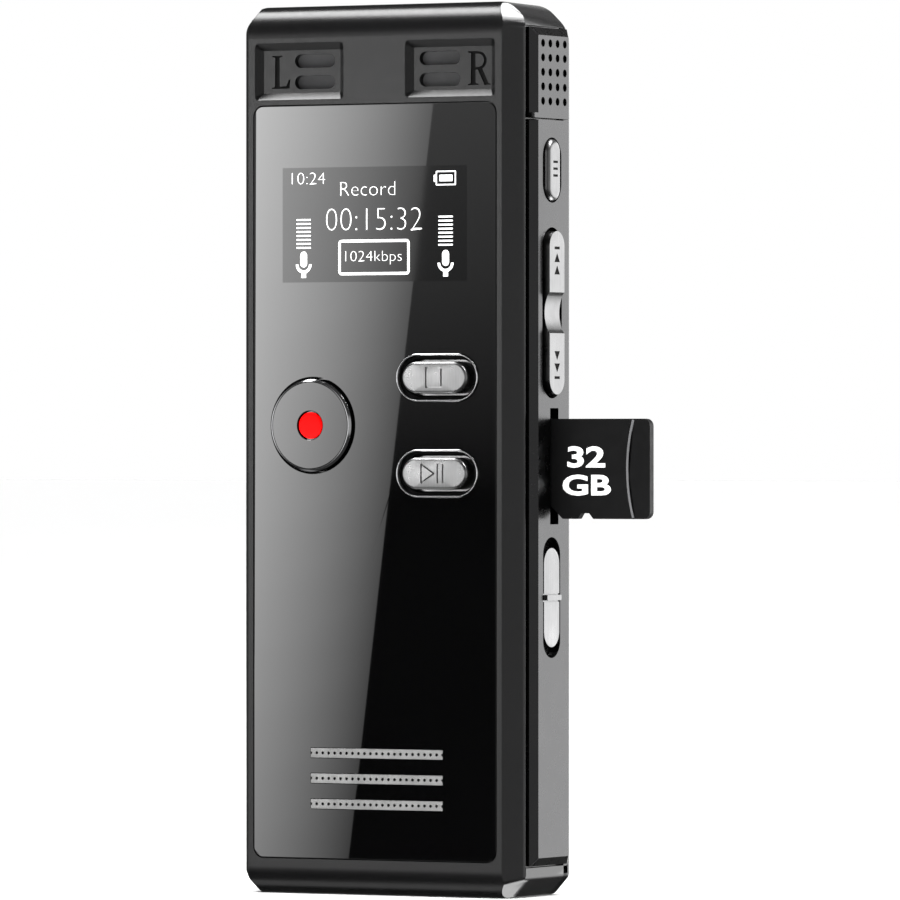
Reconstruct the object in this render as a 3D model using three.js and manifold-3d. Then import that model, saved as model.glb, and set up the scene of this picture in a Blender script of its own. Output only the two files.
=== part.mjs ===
// Handheld voice recorder, standing on its lower end. Millimetres, +Z up.
// X is the width (the side with the controls faces +X), the front face looks along -Y.
// The origin is the middle of the flat lower end.
import * as THREE from 'three';
import { mergeVertices } from 'three/addons/utils/BufferGeometryUtils.js';
import Module from 'manifold-3d';

const wasm = await Module();
wasm.setup();

// ---------------------------------------------------------------- driving dimensions
const HEIGHT = 98;
const HALF_WIDTH = 17.6;
const DEPTH = 13.2;
const FACE_HALF_WIDTH = 15.95;
const CHAMFER_DEPTH = 2.3;
const ROLL_HEIGHT_TOP = 3.6;
const ROLL_HEIGHT_BOTTOM = 3.0;
const CORNER_CUT_TOP = 3.4;
const CORNER_CUT_BOTTOM = 2.3;
const SHELL_DEPTH = 12.2;
const FACE_THICKNESS = 1.5;
const CAVITY_HALF_WIDTH = 16.3;
const CAVITY_LOW = 1.4;
const CAVITY_HIGH = 96.6;
const CAVITY_CORNER = 2.2;
const GAP = 0.15;

// side rails: a raised strip let into a shallow recess of the shell
const RECESS_FLOOR = 17.1;
const RECESS_FRONT = 2.6;
const RECESS_LOW = 3.3;
const RECESS_HIGH = 95.4;
const RAIL_BACK = 17.25;
const RAIL_FACE = 18.3;
const RAIL_FRONT = 3.25;
const RAIL_REAR = 12.05;
const RAIL_FACE_FRONT = 4.1;
const RAIL_FACE_REAR = 11.1;
const RAIL_BEVEL = 0.85;
const RAIL_MID = 7.62;
const KEY_MID = 7.25;
const RIB_LOW = 85.3;
const RIB_HIGH = 85.85;

// front window and what sits in it
const WINDOW_HALF_WIDTH = 15.19;
const WINDOW_LOW = 4.02;
const WINDOW_HIGH = 86.9;
const WINDOW_CORNER = 1.2;
const WINDOW_THICKNESS = 0.75;
const DISPLAY_LOW = 66.2;
const DISPLAY_HIGH = 81.4;
const DISPLAY_HALF_WIDTH = 12.3;

const RECORD = { x: -7.74, z: 51.68, radius: 5.1, hole: 5.37, proud: 0.66, chamfer: 0.3, mark: 1.45 };
const PILL_X = 7.985;
const PILLS = { stop: 56.9, play: 46.4 };
const PILL = { length: 8.1, width: 3.5, proud: 1.0 };
const BEZEL = { length: 10.25, width: 5.27, wall: 0.3, proud: 0.25, depth: 1.3 };
const STRIP = { x: 0.33, length: 16.6, height: 1.06, levels: [15.6, 12.8, 9.98] };
const STRIP_HOLES = { count: 21, pitch: 0.755, radius: 0.16 };

// microphone pockets in the upper face
const POCKET = { inner: 3.9, outer: 15.1, low: 87.65, high: 93.9, depth: 0.7, bevel: 0.75 };
const SLOT = { x: 7.87, length: 5.1, height: 1.5, levels: [91.9, 89.55] };

// side controls
const MENU = { z: 79.64, length: 6.9, width: 2.95, recessLength: 7.15, recessWidth: 4.3, proud: 0.42 };
const ROCKER = { z: 64.0, length: 17.9, width: 3.4, recessLength: 18.75, recessWidth: 4.5, proud: 0.63 };
const ROCKER_PIVOT_X = 16.9;
const CARD_SLOT = { z: 47.19, length: 12.75, width: 1.75 };
const SLIDE = { z: 32.8, length: 10.85, width: 3.5, recessLength: 13.24, recessWidth: 3.95 };
const GRILLE_HOLES = { y0: 5.17, pitchY: 1.677, columns: 4, z0: 87.16, pitchZ: 1.585, rows: 5, radius: 0.43 };

// memory card, pushed in a little way
const CARD = { inner: 15.4, length: 15, low: 41.43, high: 52.39, thickness: 1.0 };
const CARD_STEP = { height: 1.47, start: 2.7, end: 4.2 };
const CARD_NOTCH = { start: 6.2, floor: [6.5, 7.6], end: 8.1, height: 0.6 };

// inside
const BOARD_FRONT = 8.9;
const BOARD_THICKNESS = 0.8;
const KEY_BOARD_FRONT = 4.65;
const TACT_HEIGHT = 1.15;
const TACT_SIZE = 3.6;
const SIDE_SWITCH_FACE = 14.9;
const BOSSES = [[-14.2, 6], [14.2, 6], [-14.2, 94.2], [14.2, 94.2]];
const BOARD_BOSSES = [[-13.6, 83.7], [13.4, 20.5]];
const JACK = { x: 5.6, y: 6.85, radius: 1.75 };
const USB = { x: -7.4, y: 7.1, length: 8.9, width: 3.2 };
const FRONT_MIC = { x: 7.87, z: 90.75, radius: 3.0 };
const SIDE_MIC = { z: 89.5, radius: 2.2 };

// ---------------------------------------------------------------- finishes
function finish(color, roughness, metalness) {
  return new THREE.MeshStandardMaterial({ color, roughness, metalness });
}
const FINISH = {
  shell: finish(0x3c3c3e, 0.55, 0.1),
  rail: finish(0x8a8a8c, 0.45, 0.3),
  window: finish(0x0a0a0b, 0.08, 0.0),
  silver: finish(0xb9babc, 0.3, 0.8),
  chrome: finish(0xd8d8da, 0.12, 1.0),
  keyCap: finish(0x5a5a5c, 0.45, 0.2),
  red: finish(0xff0a0a, 0.4, 0.0),
  grille: finish(0xb4b4b2, 0.4, 0.6),
  board: finish(0x1d5a33, 0.5, 0.0),
  dark: finish(0x202022, 0.6, 0.0),
  steel: finish(0xaeb0b4, 0.3, 1.0),
  rubber: finish(0x26262a, 0.8, 0.0),
  foam: finish(0x3a3a3e, 0.95, 0.0),
  battery: finish(0xb8bcc4, 0.35, 0.5),
  flex: finish(0xc07a2a, 0.45, 0.0),
  card: finish(0x1c1c1e, 0.5, 0.0),
};

// ---------------------------------------------------------------- solid helpers
// Depths are counted from the front face, so the face is at depth 0.
function atDepth(depth) {
  return depth - DEPTH / 2;
}

function solidOf(geometry) {
  const plain = geometry.clone();
  plain.deleteAttribute('normal');
  plain.deleteAttribute('uv');
  const merged = mergeVertices(plain, 1e-5);
  const mesh = new wasm.Mesh({
    numProp: 3,
    vertProperties: new Float32Array(merged.attributes.position.array),
    triVerts: new Uint32Array(merged.index.array),
  });
  return new wasm.Manifold(mesh);
}

function joined(first, ...others) {
  return others.reduce((sum, next) => sum.add(next), first);
}

function cutFrom(base, ...tools) {
  return tools.reduce((rest, tool) => rest.subtract(tool), base);
}

// A block between two depths; x, z and depth are [low, high] pairs.
function block(x, depth, z) {
  const geometry = new THREE.BoxGeometry(x[1] - x[0], depth[1] - depth[0], z[1] - z[0]);
  geometry.translate((x[0] + x[1]) / 2, atDepth((depth[0] + depth[1]) / 2), (z[0] + z[1]) / 2);
  return solidOf(geometry);
}

// A shape drawn in X and Z, between two depths.
function plate(shape, depth, segments = 4) {
  const options = { depth: depth[1] - depth[0], bevelEnabled: false, curveSegments: segments };
  const geometry = new THREE.ExtrudeGeometry(shape, options);
  geometry.rotateX(Math.PI / 2);
  geometry.translate(0, atDepth(depth[1]), 0);
  return solidOf(geometry);
}

// A shape drawn in depth and Z, between two widths.
function sidePlate(shape, x, segments = 4) {
  const options = { depth: x[1] - x[0], bevelEnabled: false, curveSegments: segments };
  const geometry = new THREE.ExtrudeGeometry(shape, options);
  const basis = new THREE.Matrix4().makeBasis(
    new THREE.Vector3(0, 1, 0),
    new THREE.Vector3(0, 0, 1),
    new THREE.Vector3(1, 0, 0),
  );
  geometry.applyMatrix4(basis);
  geometry.translate(x[0], atDepth(0), 0);
  return solidOf(geometry);
}

// A shape drawn in X and depth, between two heights.
function levelPlate(shape, z) {
  const geometry = new THREE.ExtrudeGeometry(shape, { depth: z[1] - z[0], bevelEnabled: false });
  geometry.translate(0, atDepth(0), z[0]);
  return solidOf(geometry);
}

function polygon(points) {
  return new THREE.Shape(points.map(([a, b]) => new THREE.Vector2(a, b)));
}

function roundedRect(a, b, radius) {
  const shape = new THREE.Shape();
  shape.moveTo(a[0] + radius, b[0]);
  shape.lineTo(a[1] - radius, b[0]);
  shape.absarc(a[1] - radius, b[0] + radius, radius, -Math.PI / 2, 0);
  shape.lineTo(a[1], b[1] - radius);
  shape.absarc(a[1] - radius, b[1] - radius, radius, 0, Math.PI / 2);
  shape.lineTo(a[0] + radius, b[1]);
  shape.absarc(a[0] + radius, b[1] - radius, radius, Math.PI / 2, Math.PI);
  shape.lineTo(a[0], b[0] + radius);
  shape.absarc(a[0] + radius, b[0] + radius, radius, Math.PI, Math.PI * 1.5);
  return shape;
}

// A bar with round ends, centred on (a, b); the first length runs along the first axis.
function stadium(a, b, lengthA, lengthB) {
  const radius = Math.min(lengthA, lengthB) / 2 - 1e-3;
  return roundedRect([a - lengthA / 2, a + lengthA / 2], [b - lengthB / 2, b + lengthB / 2], radius);
}

// A round bar along the depth.
function pegY(x, z, radius, depth, sides = 16) {
  const geometry = new THREE.CylinderGeometry(radius, radius, depth[1] - depth[0], sides);
  geometry.translate(x, atDepth((depth[0] + depth[1]) / 2), z);
  return solidOf(geometry);
}

// A round bar along the width.
function pegX(depth, z, radius, x, sides = 12) {
  const geometry = new THREE.CylinderGeometry(radius, radius, x[1] - x[0], sides);
  geometry.rotateZ(Math.PI / 2);
  geometry.translate((x[0] + x[1]) / 2, atDepth(depth), z);
  return solidOf(geometry);
}

// A round bar along the height.
function pegZ(x, depth, radius, z, sides = 16) {
  const geometry = new THREE.CylinderGeometry(radius, radius, z[1] - z[0], sides);
  geometry.rotateX(Math.PI / 2);
  geometry.translate(x, atDepth(depth), (z[0] + z[1]) / 2);
  return solidOf(geometry);
}

const recorder = new THREE.Group();

function addPiece(name, solid, material) {
  const mesh = solid.getMesh();
  const geometry = new THREE.BufferGeometry();
  geometry.setAttribute('position', new THREE.BufferAttribute(mesh.vertProperties, 3));
  geometry.setIndex(new THREE.BufferAttribute(mesh.triVerts, 1));
  geometry.computeVertexNormals();
  const piece = new THREE.Mesh(geometry, material);
  piece.name = name;
  recorder.add(piece);
}

// ---------------------------------------------------------------- case
// The front outline of the case: a tall rectangle whose corners are cut and softened.
function caseOutline(halfWidth, low, high, cutLow, cutHigh) {
  const soft = 0.45;
  const shape = new THREE.Shape();
  shape.moveTo(-halfWidth + cutLow, low);
  shape.lineTo(halfWidth - cutLow, low);
  shape.bezierCurveTo(
    halfWidth - cutLow * soft, low, halfWidth, low + cutLow * soft * 1.2, halfWidth, low + cutLow * 1.4,
  );
  shape.lineTo(halfWidth, high - cutHigh * 1.4);
  shape.bezierCurveTo(
    halfWidth, high - cutHigh * soft * 1.4, halfWidth - cutHigh * soft, high, halfWidth - cutHigh, high,
  );
  shape.lineTo(-halfWidth + cutHigh, high);
  shape.bezierCurveTo(
    -halfWidth + cutHigh * soft, high, -halfWidth, high - cutHigh * soft * 1.4,
    -halfWidth, high - cutHigh * 1.4,
  );
  shape.lineTo(-halfWidth, low + cutLow * 1.4);
  shape.bezierCurveTo(
    -halfWidth, low + cutLow * soft * 1.2, -halfWidth + cutLow * soft, low, -halfWidth + cutLow, low,
  );
  return shape;
}

// The case seen from the side: the face rolls over into the top and the bottom.
function rolledProfile(backDepth) {
  const rollDepth = 2.4;
  const shape = new THREE.Shape();
  shape.moveTo(backDepth, 0);
  shape.lineTo(backDepth, HEIGHT);
  shape.lineTo(rollDepth, HEIGHT);
  shape.absellipse(rollDepth, HEIGHT - ROLL_HEIGHT_TOP, rollDepth, ROLL_HEIGHT_TOP, Math.PI / 2, Math.PI);
  shape.lineTo(0, ROLL_HEIGHT_BOTTOM);
  shape.absellipse(rollDepth, ROLL_HEIGHT_BOTTOM, rollDepth, ROLL_HEIGHT_BOTTOM, Math.PI, Math.PI * 1.5);
  return shape;
}

function caseBlank() {
  const outline = caseOutline(HALF_WIDTH, 0, HEIGHT, CORNER_CUT_BOTTOM, CORNER_CUT_TOP);
  const front = plate(outline, [0, SHELL_DEPTH], 5);
  const section = polygon([
    [-HALF_WIDTH, SHELL_DEPTH], [-HALF_WIDTH, CHAMFER_DEPTH], [-FACE_HALF_WIDTH, 0],
    [FACE_HALF_WIDTH, 0], [HALF_WIDTH, CHAMFER_DEPTH], [HALF_WIDTH, SHELL_DEPTH],
  ]);
  const chamfered = levelPlate(section, [0, HEIGHT]);
  const rolled = sidePlate(rolledProfile(SHELL_DEPTH), [-HALF_WIDTH, HALF_WIDTH], 3);
  return front.intersect(chamfered).intersect(rolled);
}

function cavity() {
  const c = CAVITY_CORNER;
  const w = CAVITY_HALF_WIDTH;
  const shape = polygon([
    [-w + c, CAVITY_LOW], [w - c, CAVITY_LOW], [w, CAVITY_LOW + c], [w, CAVITY_HIGH - c],
    [w - c, CAVITY_HIGH], [-w + c, CAVITY_HIGH], [-w, CAVITY_HIGH - c], [-w, CAVITY_LOW + c],
  ]);
  return plate(shape, [FACE_THICKNESS, SHELL_DEPTH + 1]);
}

// A recess that narrows from the face down to its floor, for one microphone pocket.
function pocket(side) {
  const x = [POCKET.inner, POCKET.outer].map((value) => value * side).sort((a, b) => a - b);
  const floor = roundedRect(
    [x[0] + POCKET.bevel, x[1] - POCKET.bevel],
    [POCKET.low + POCKET.bevel, POCKET.high - POCKET.bevel], 0.2,
  );
  const geometry = new THREE.ExtrudeGeometry(floor, {
    depth: 1, bevelEnabled: true, bevelThickness: POCKET.depth, bevelSize: POCKET.bevel,
    bevelSegments: 1, curveSegments: 1,
  });
  geometry.rotateX(Math.PI / 2);
  geometry.translate(0, atDepth(0), 0);
  return solidOf(geometry);
}

function micSlots() {
  const tools = [];
  for (const side of [-1, 1]) {
    for (const level of SLOT.levels) {
      tools.push(plate(stadium(side * SLOT.x, level, SLOT.length, SLOT.height), [0.2, 2], 2));
    }
  }
  return tools;
}

function pillHole(z, extra, depth) {
  return plate(stadium(PILL_X, z, BEZEL.length + extra, BEZEL.width + extra), depth, 3);
}

function bosses() {
  const corner = BOSSES.map(([x, z]) => pegY(x, z, 2.2, [FACE_THICKNESS - 0.2, SHELL_DEPTH - GAP], 12));
  const board = BOARD_BOSSES.map(([x, z]) => pegY(x, z, 1.5, [FACE_THICKNESS - 0.2, BOARD_FRONT - 0.1], 12));
  return [...corner, ...board];
}

function bossBores() {
  const corner = BOSSES.map(([x, z]) => pegY(x, z, 0.8, [7.5, SHELL_DEPTH + 1], 10));
  const board = BOARD_BOSSES.map(([x, z]) => pegY(x, z, 0.75, [4.5, BOARD_FRONT + 1], 10));
  return [...corner, ...board];
}

function wallOpenings() {
  const wall = [CAVITY_HALF_WIDTH - 0.5, RECESS_FLOOR + 0.5];
  return [
    block(wall, [6.45, 8.05], [MENU.z - 0.9, MENU.z + 0.9]),
    block(wall, [5.35, 9.15], [ROCKER.z - 8.6, ROCKER.z + 8.6]),
    pegY(ROCKER_PIVOT_X, ROCKER.z, 0.7, [4.7, 9.8], 12),
    block(wall, [RAIL_MID - 0.85, RAIL_MID + 0.85], [40.85, 53.55]),
    block(wall, [6.2, 8.3], [SLIDE.z - 2.6, SLIDE.z + 2.6]),
    pegX(RAIL_MID, SIDE_MIC.z, 1.7, wall),
  ];
}

function frontShell() {
  let shell = cutFrom(caseBlank(), cavity());
  shell = joined(shell, ...bosses());
  shell = shell.intersect(caseBlank());
  const recessDepth = [RECESS_FRONT, SHELL_DEPTH + 1];
  const recessHeight = [RECESS_LOW, RECESS_HIGH];
  const edge = WINDOW_HALF_WIDTH + GAP;
  const windowSeat = roundedRect([-edge, edge], [WINDOW_LOW - GAP, WINDOW_HIGH + GAP], WINDOW_CORNER);
  return cutFrom(
    shell,
    block([RECESS_FLOOR, HALF_WIDTH + 1], recessDepth, recessHeight),
    block([-HALF_WIDTH - 1, -RECESS_FLOOR], recessDepth, recessHeight),
    plate(windowSeat, [-1, WINDOW_THICKNESS + GAP], 2),
    block([-DISPLAY_HALF_WIDTH - 0.3, DISPLAY_HALF_WIDTH + 0.3], [0, 2], [DISPLAY_LOW - 0.3, DISPLAY_HIGH + 0.3]),
    pegY(RECORD.x, RECORD.z, RECORD.hole, [0, 2], 28),
    pillHole(PILLS.stop, 0.3, [0, 2]),
    pillHole(PILLS.play, 0.3, [0, 2]),
    block([STRIP.x - 8.2, STRIP.x + 8.2], [0, 2], [9.2, 16.4]),
    pocket(-1),
    pocket(1),
    ...micSlots(),
    ...bossBores(),
    ...wallOpenings(),
    pegZ(-JACK.x, JACK.y, JACK.radius + 0.15, [CAVITY_HIGH - 1, HEIGHT + 1]),
    pegZ(JACK.x, JACK.y, JACK.radius + 0.15, [CAVITY_HIGH - 1, HEIGHT + 1]),
    levelPlate(stadium(USB.x, USB.y, USB.length + 0.4, USB.width + 0.4), [-1, CAVITY_LOW + 1]),
  );
}

function rearCover() {
  const edge = 0.9;
  const start = SHELL_DEPTH + 0.1;
  const outline = caseOutline(HALF_WIDTH, 0, HEIGHT, CORNER_CUT_BOTTOM, CORNER_CUT_TOP);
  const section = polygon([
    [-HALF_WIDTH, start], [HALF_WIDTH, start], [HALF_WIDTH, start + GAP],
    [HALF_WIDTH - edge, DEPTH], [-HALF_WIDTH + edge, DEPTH], [-HALF_WIDTH, start + GAP],
  ]);
  const profile = polygon([
    [start, 0], [start, HEIGHT], [start + GAP, HEIGHT], [DEPTH, HEIGHT - edge],
    [DEPTH, edge], [start + GAP, 0],
  ]);
  let cover = plate(outline, [start, DEPTH], 5)
    .intersect(levelPlate(section, [0, HEIGHT]))
    .intersect(sidePlate(profile, [-HALF_WIDTH, HALF_WIDTH]));
  cover = joined(
    cover,
    block([-16.05, -15.2], [11.2, start + 0.2], [12, 88]),
    block([15.2, 16.05], [11.2, start + 0.2], [12, 88]),
  );
  const bores = BOSSES.map(([x, z]) => pegY(x, z, 0.85, [SHELL_DEPTH, DEPTH + 1], 10));
  const seats = BOSSES.map(([x, z]) => pegY(x, z, 1.6, [DEPTH - 0.5, DEPTH + 1], 14));
  return cutFrom(cover, ...bores, ...seats);
}

// ---------------------------------------------------------------- side rails
// A raised strip with bevels along its front, its rear and, where asked, its ends.
function railBlank(low, high, bevelLow, bevelHigh) {
  const across = polygon([
    [RAIL_BACK, RAIL_FRONT], [HALF_WIDTH, RAIL_FRONT], [RAIL_FACE, RAIL_FACE_FRONT],
    [RAIL_FACE, RAIL_FACE_REAR], [HALF_WIDTH, RAIL_REAR], [RAIL_BACK, RAIL_REAR],
  ]);
  const along = polygon([
    [RAIL_BACK, low], [HALF_WIDTH, low], [RAIL_FACE, low + bevelLow],
    [RAIL_FACE, high - bevelHigh], [HALF_WIDTH, high], [RAIL_BACK, high],
  ]);
  return levelPlate(across, [low, high]).intersect(plate(along, [RAIL_FRONT - 1, RAIL_REAR + 1]));
}

function sideSlot(z, width, length, middle) {
  return sidePlate(stadium(middle, z, width, length), [RAIL_BACK - 1, RAIL_FACE + 1], 3);
}

function rightRail() {
  const low = RECESS_LOW + GAP;
  const blank = railBlank(low, RIB_LOW - GAP, RAIL_BEVEL, 1e-3);
  return cutFrom(
    blank,
    sideSlot(MENU.z, MENU.recessWidth, MENU.recessLength, KEY_MID),
    sideSlot(ROCKER.z, ROCKER.recessWidth, ROCKER.recessLength, KEY_MID),
    sideSlot(SLIDE.z, SLIDE.recessWidth, SLIDE.recessLength, KEY_MID - 0.1),
    block([RAIL_BACK - 1, RAIL_FACE + 1],
      [RAIL_MID - CARD_SLOT.width / 2, RAIL_MID + CARD_SLOT.width / 2],
      [CARD_SLOT.z - CARD_SLOT.length / 2, CARD_SLOT.z + CARD_SLOT.length / 2]),
  );
}

function micGrille() {
  const section = polygon([
    [RAIL_BACK, RAIL_FRONT], [RAIL_FACE, RAIL_FRONT], [RAIL_FACE, RAIL_FACE_REAR],
    [HALF_WIDTH, RAIL_REAR], [RAIL_BACK, RAIL_REAR],
  ]);
  const rib = levelPlate(section, [RIB_LOW, RIB_HIGH]);
  const blank = joined(railBlank(RIB_LOW, RECESS_HIGH - GAP, 1e-3, RAIL_BEVEL), rib);
  const holes = [];
  for (let row = 0; row < GRILLE_HOLES.rows; row += 1) {
    for (let column = 0; column < GRILLE_HOLES.columns; column += 1) {
      const depth = GRILLE_HOLES.y0 + column * GRILLE_HOLES.pitchY;
      const z = GRILLE_HOLES.z0 + row * GRILLE_HOLES.pitchZ;
      holes.push(pegX(depth, z, GRILLE_HOLES.radius, [RAIL_BACK - 1, RAIL_FACE + 1], 6));
    }
  }
  return cutFrom(blank, ...holes);
}

function leftRail() {
  const low = RECESS_LOW + GAP;
  const blank = railBlank(low, RECESS_HIGH - GAP, RAIL_BEVEL, RAIL_BEVEL);
  return blank.mirror([1, 0, 0]);
}

// ---------------------------------------------------------------- front panel and keys
function windowPanel() {
  const x = [-WINDOW_HALF_WIDTH, WINDOW_HALF_WIDTH];
  const panel = plate(
    roundedRect(x, [WINDOW_LOW, WINDOW_HIGH], WINDOW_CORNER - GAP), [0, WINDOW_THICKNESS], 2,
  );
  const strips = STRIP.levels.map((z) => block(
    [STRIP.x - STRIP.length / 2 - GAP, STRIP.x + STRIP.length / 2 + GAP], [-1, 2],
    [z - STRIP.height / 2 - GAP, z + STRIP.height / 2 + GAP],
  ));
  return cutFrom(
    panel,
    pegY(RECORD.x, RECORD.z, RECORD.hole, [-1, 2], 28),
    pillHole(PILLS.stop, 0.3, [-1, 2]),
    pillHole(PILLS.play, 0.3, [-1, 2]),
    ...strips,
  );
}

function bezel(z) {
  const inside = -2 * BEZEL.wall;
  return cutFrom(
    pillHole(z, 0, [-BEZEL.proud, BEZEL.depth]),
    pillHole(z, inside, [-1, 2]),
  );
}

// A tall key that reaches in to its switch: collar behind the face, stem and switch plunger.
function keyFoot(x, z, collar) {
  return joined(
    collar,
    pegY(x, z, 1.3, [2.0, 2.95], 12),
    pegY(x, z, 0.8, [2.9, 3.65], 10),
  );
}

function recordButton() {
  const rim = RECORD.chamfer;
  const points = [
    [0, -RECORD.proud], [RECORD.radius - rim, -RECORD.proud], [RECORD.radius, -RECORD.proud + rim],
    [RECORD.radius, FACE_THICKNESS + GAP], [6.2, FACE_THICKNESS + GAP], [6.2, 2.15], [0, 2.15],
  ].map(([radius, depth]) => new THREE.Vector2(radius, atDepth(depth)));
  const geometry = new THREE.LatheGeometry(points, 32);
  geometry.translate(RECORD.x, 0, RECORD.z);
  const body = solidOf(geometry);
  const seat = pegY(RECORD.x, RECORD.z, RECORD.mark + GAP, [-RECORD.proud - 1, -RECORD.proud + 0.5], 20);
  return cutFrom(keyFoot(RECORD.x, RECORD.z, body), seat);
}

function recordMark() {
  return pegY(RECORD.x, RECORD.z, RECORD.mark, [-RECORD.proud, -RECORD.proud + 0.35], 20);
}

function pillButton(z) {
  const edge = 0.7;
  const shape = stadium(PILL_X, z, PILL.length - 2 * edge, PILL.width - 2 * edge);
  const crown = 0.8;
  const geometry = new THREE.ExtrudeGeometry(shape, {
    depth: PILL.proud + FACE_THICKNESS + 0.3 - crown, bevelEnabled: true, bevelThickness: crown,
    bevelSize: edge, bevelSegments: 2, curveSegments: 3,
  });
  geometry.rotateX(Math.PI / 2);
  geometry.translate(0, atDepth(FACE_THICKNESS + 0.3), 0);
  const body = solidOf(geometry);
  const front = block([0, 20], [-5, FACE_THICKNESS + GAP + 0.05], [30, 70]);
  const collarShape = stadium(PILL_X, z, BEZEL.length + 0.6, BEZEL.width + 0.6);
  const collar = plate(collarShape, [FACE_THICKNESS + GAP, 2.15], 3);
  return keyFoot(PILL_X, z, joined(body.intersect(front), collar));
}

function stripGrille(z) {
  const bar = block(
    [STRIP.x - STRIP.length / 2, STRIP.x + STRIP.length / 2], [-0.05, 0.8],
    [z - STRIP.height / 2, z + STRIP.height / 2],
  );
  const holes = [];
  const first = STRIP.x - ((STRIP_HOLES.count - 1) * STRIP_HOLES.pitch) / 2;
  for (let index = 0; index < STRIP_HOLES.count; index += 1) {
    holes.push(pegY(first + index * STRIP_HOLES.pitch, z, STRIP_HOLES.radius, [-1, 2], 4));
  }
  return cutFrom(bar, ...holes);
}

// ---------------------------------------------------------------- side keys
function menuButton() {
  const cap = sidePlate(
    stadium(KEY_MID, MENU.z, MENU.width, MENU.length), [RAIL_BACK + 0.3, RAIL_FACE + MENU.proud], 3,
  );
  return joined(
    cap,
    block([15.9, RAIL_BACK + 0.4], [6.6, 7.9], [MENU.z - 0.7, MENU.z + 0.7]),
    block([15.5, 16.05], [6.1, 8.4], [MENU.z - 1.5, MENU.z + 1.5]),
    pegX(KEY_MID, MENU.z, 0.5, [14.75, 15.6], 8),
  );
}

// Two proud ends with a thumb dip between them, on a lug that turns on the pin.
function rocker() {
  const half = ROCKER.length / 2;
  const top = RAIL_FACE + ROCKER.proud;
  const dip = RAIL_FACE - 0.05;
  const floor = HALF_WIDTH;
  const shape = new THREE.Shape();
  shape.moveTo(floor, ROCKER.z - half);
  shape.lineTo(top - 0.3, ROCKER.z - half);
  shape.lineTo(top, ROCKER.z - half + 0.5);
  shape.lineTo(top, ROCKER.z - 2.2);
  shape.quadraticCurveTo(dip - (top - dip), ROCKER.z, top, ROCKER.z + 2.2);
  shape.lineTo(top, ROCKER.z + half - 0.5);
  shape.lineTo(top - 0.3, ROCKER.z + half);
  shape.lineTo(floor, ROCKER.z + half);
  const bar = plate(shape, [KEY_MID - ROCKER.width / 2, KEY_MID + ROCKER.width / 2], 5);
  const rounded = sidePlate(stadium(KEY_MID, ROCKER.z, ROCKER.width, ROCKER.length), [15, 20], 3);
  let body = joined(
    bar.intersect(rounded),
    pegY(ROCKER_PIVOT_X, ROCKER.z, 1.15, [KEY_MID - 1, KEY_MID + 1], 12),
    block([ROCKER_PIVOT_X, floor + 0.1], [KEY_MID - 1, KEY_MID + 1], [ROCKER.z - 1, ROCKER.z + 1]),
  );
  for (const side of [-1, 1]) {
    const z = ROCKER.z + side * 6;
    body = joined(
      body,
      block([15.5, floor + 0.1], [6.6, 7.9], [z - 0.7, z + 0.7]),
      pegX(KEY_MID, z, 0.45, [14.75, 15.6], 8),
    );
  }
  return cutFrom(body, pegY(ROCKER_PIVOT_X, ROCKER.z, 0.55, [0, 12], 12));
}

function slideKnob() {
  const middle = KEY_MID - 0.1;
  const knob = sidePlate(stadium(middle, SLIDE.z, SLIDE.width, SLIDE.length), [17.45, RAIL_FACE], 3);
  return joined(
    knob,
    block([RAIL_FACE - 0.1, RAIL_FACE + 0.35], [middle - 1.6, middle + 1.6], [SLIDE.z - 0.4, SLIDE.z + 0.4]),
    block([15.2, 17.5], [6.5, 7.8], [SLIDE.z - 1.0, SLIDE.z + 1.0]),
    block([14.1, 15.3], [6.85, 7.45], [SLIDE.z - 0.5, SLIDE.z + 0.5]),
  );
}

// ---------------------------------------------------------------- memory card and socket
// The lower edge steps out from a narrow inner end and has one finger notch.
function memoryCard() {
  const outer = CARD.inner + CARD.length;
  const shape = new THREE.Shape();
  const round = 0.8;
  shape.moveTo(CARD.inner, CARD.low + CARD_STEP.height);
  shape.lineTo(CARD.inner + CARD_STEP.start, CARD.low + CARD_STEP.height);
  shape.lineTo(CARD.inner + CARD_STEP.end, CARD.low);
  shape.lineTo(CARD.inner + CARD_NOTCH.start, CARD.low);
  shape.lineTo(CARD.inner + CARD_NOTCH.floor[0], CARD.low + CARD_NOTCH.height);
  shape.lineTo(CARD.inner + CARD_NOTCH.floor[1], CARD.low + CARD_NOTCH.height);
  shape.lineTo(CARD.inner + CARD_NOTCH.end, CARD.low);
  shape.lineTo(outer - round, CARD.low);
  shape.absarc(outer - round, CARD.low + round, round, -Math.PI / 2, 0);
  shape.lineTo(outer, CARD.high - round);
  shape.absarc(outer - round, CARD.high - round, round, 0, Math.PI / 2);
  shape.lineTo(CARD.inner + 0.4, CARD.high);
  shape.lineTo(CARD.inner, CARD.high - 0.4);
  return plate(shape, [RAIL_MID - CARD.thickness / 2, RAIL_MID + CARD.thickness / 2], 2);
}

function cardSocket() {
  const body = block([2.8, 15.9], [6.55, 8.8], [40.5, 53.4]);
  return cutFrom(body, block([3.4, 17], [6.9, 8.35], [41.0, 52.85]));
}

// ---------------------------------------------------------------- electronics
function chip(x, z, width, height) {
  const rear = BOARD_FRONT + BOARD_THICKNESS;
  return block([x - width / 2, x + width / 2], [rear - 0.1, rear + 0.9], [z - height / 2, z + height / 2]);
}

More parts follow.
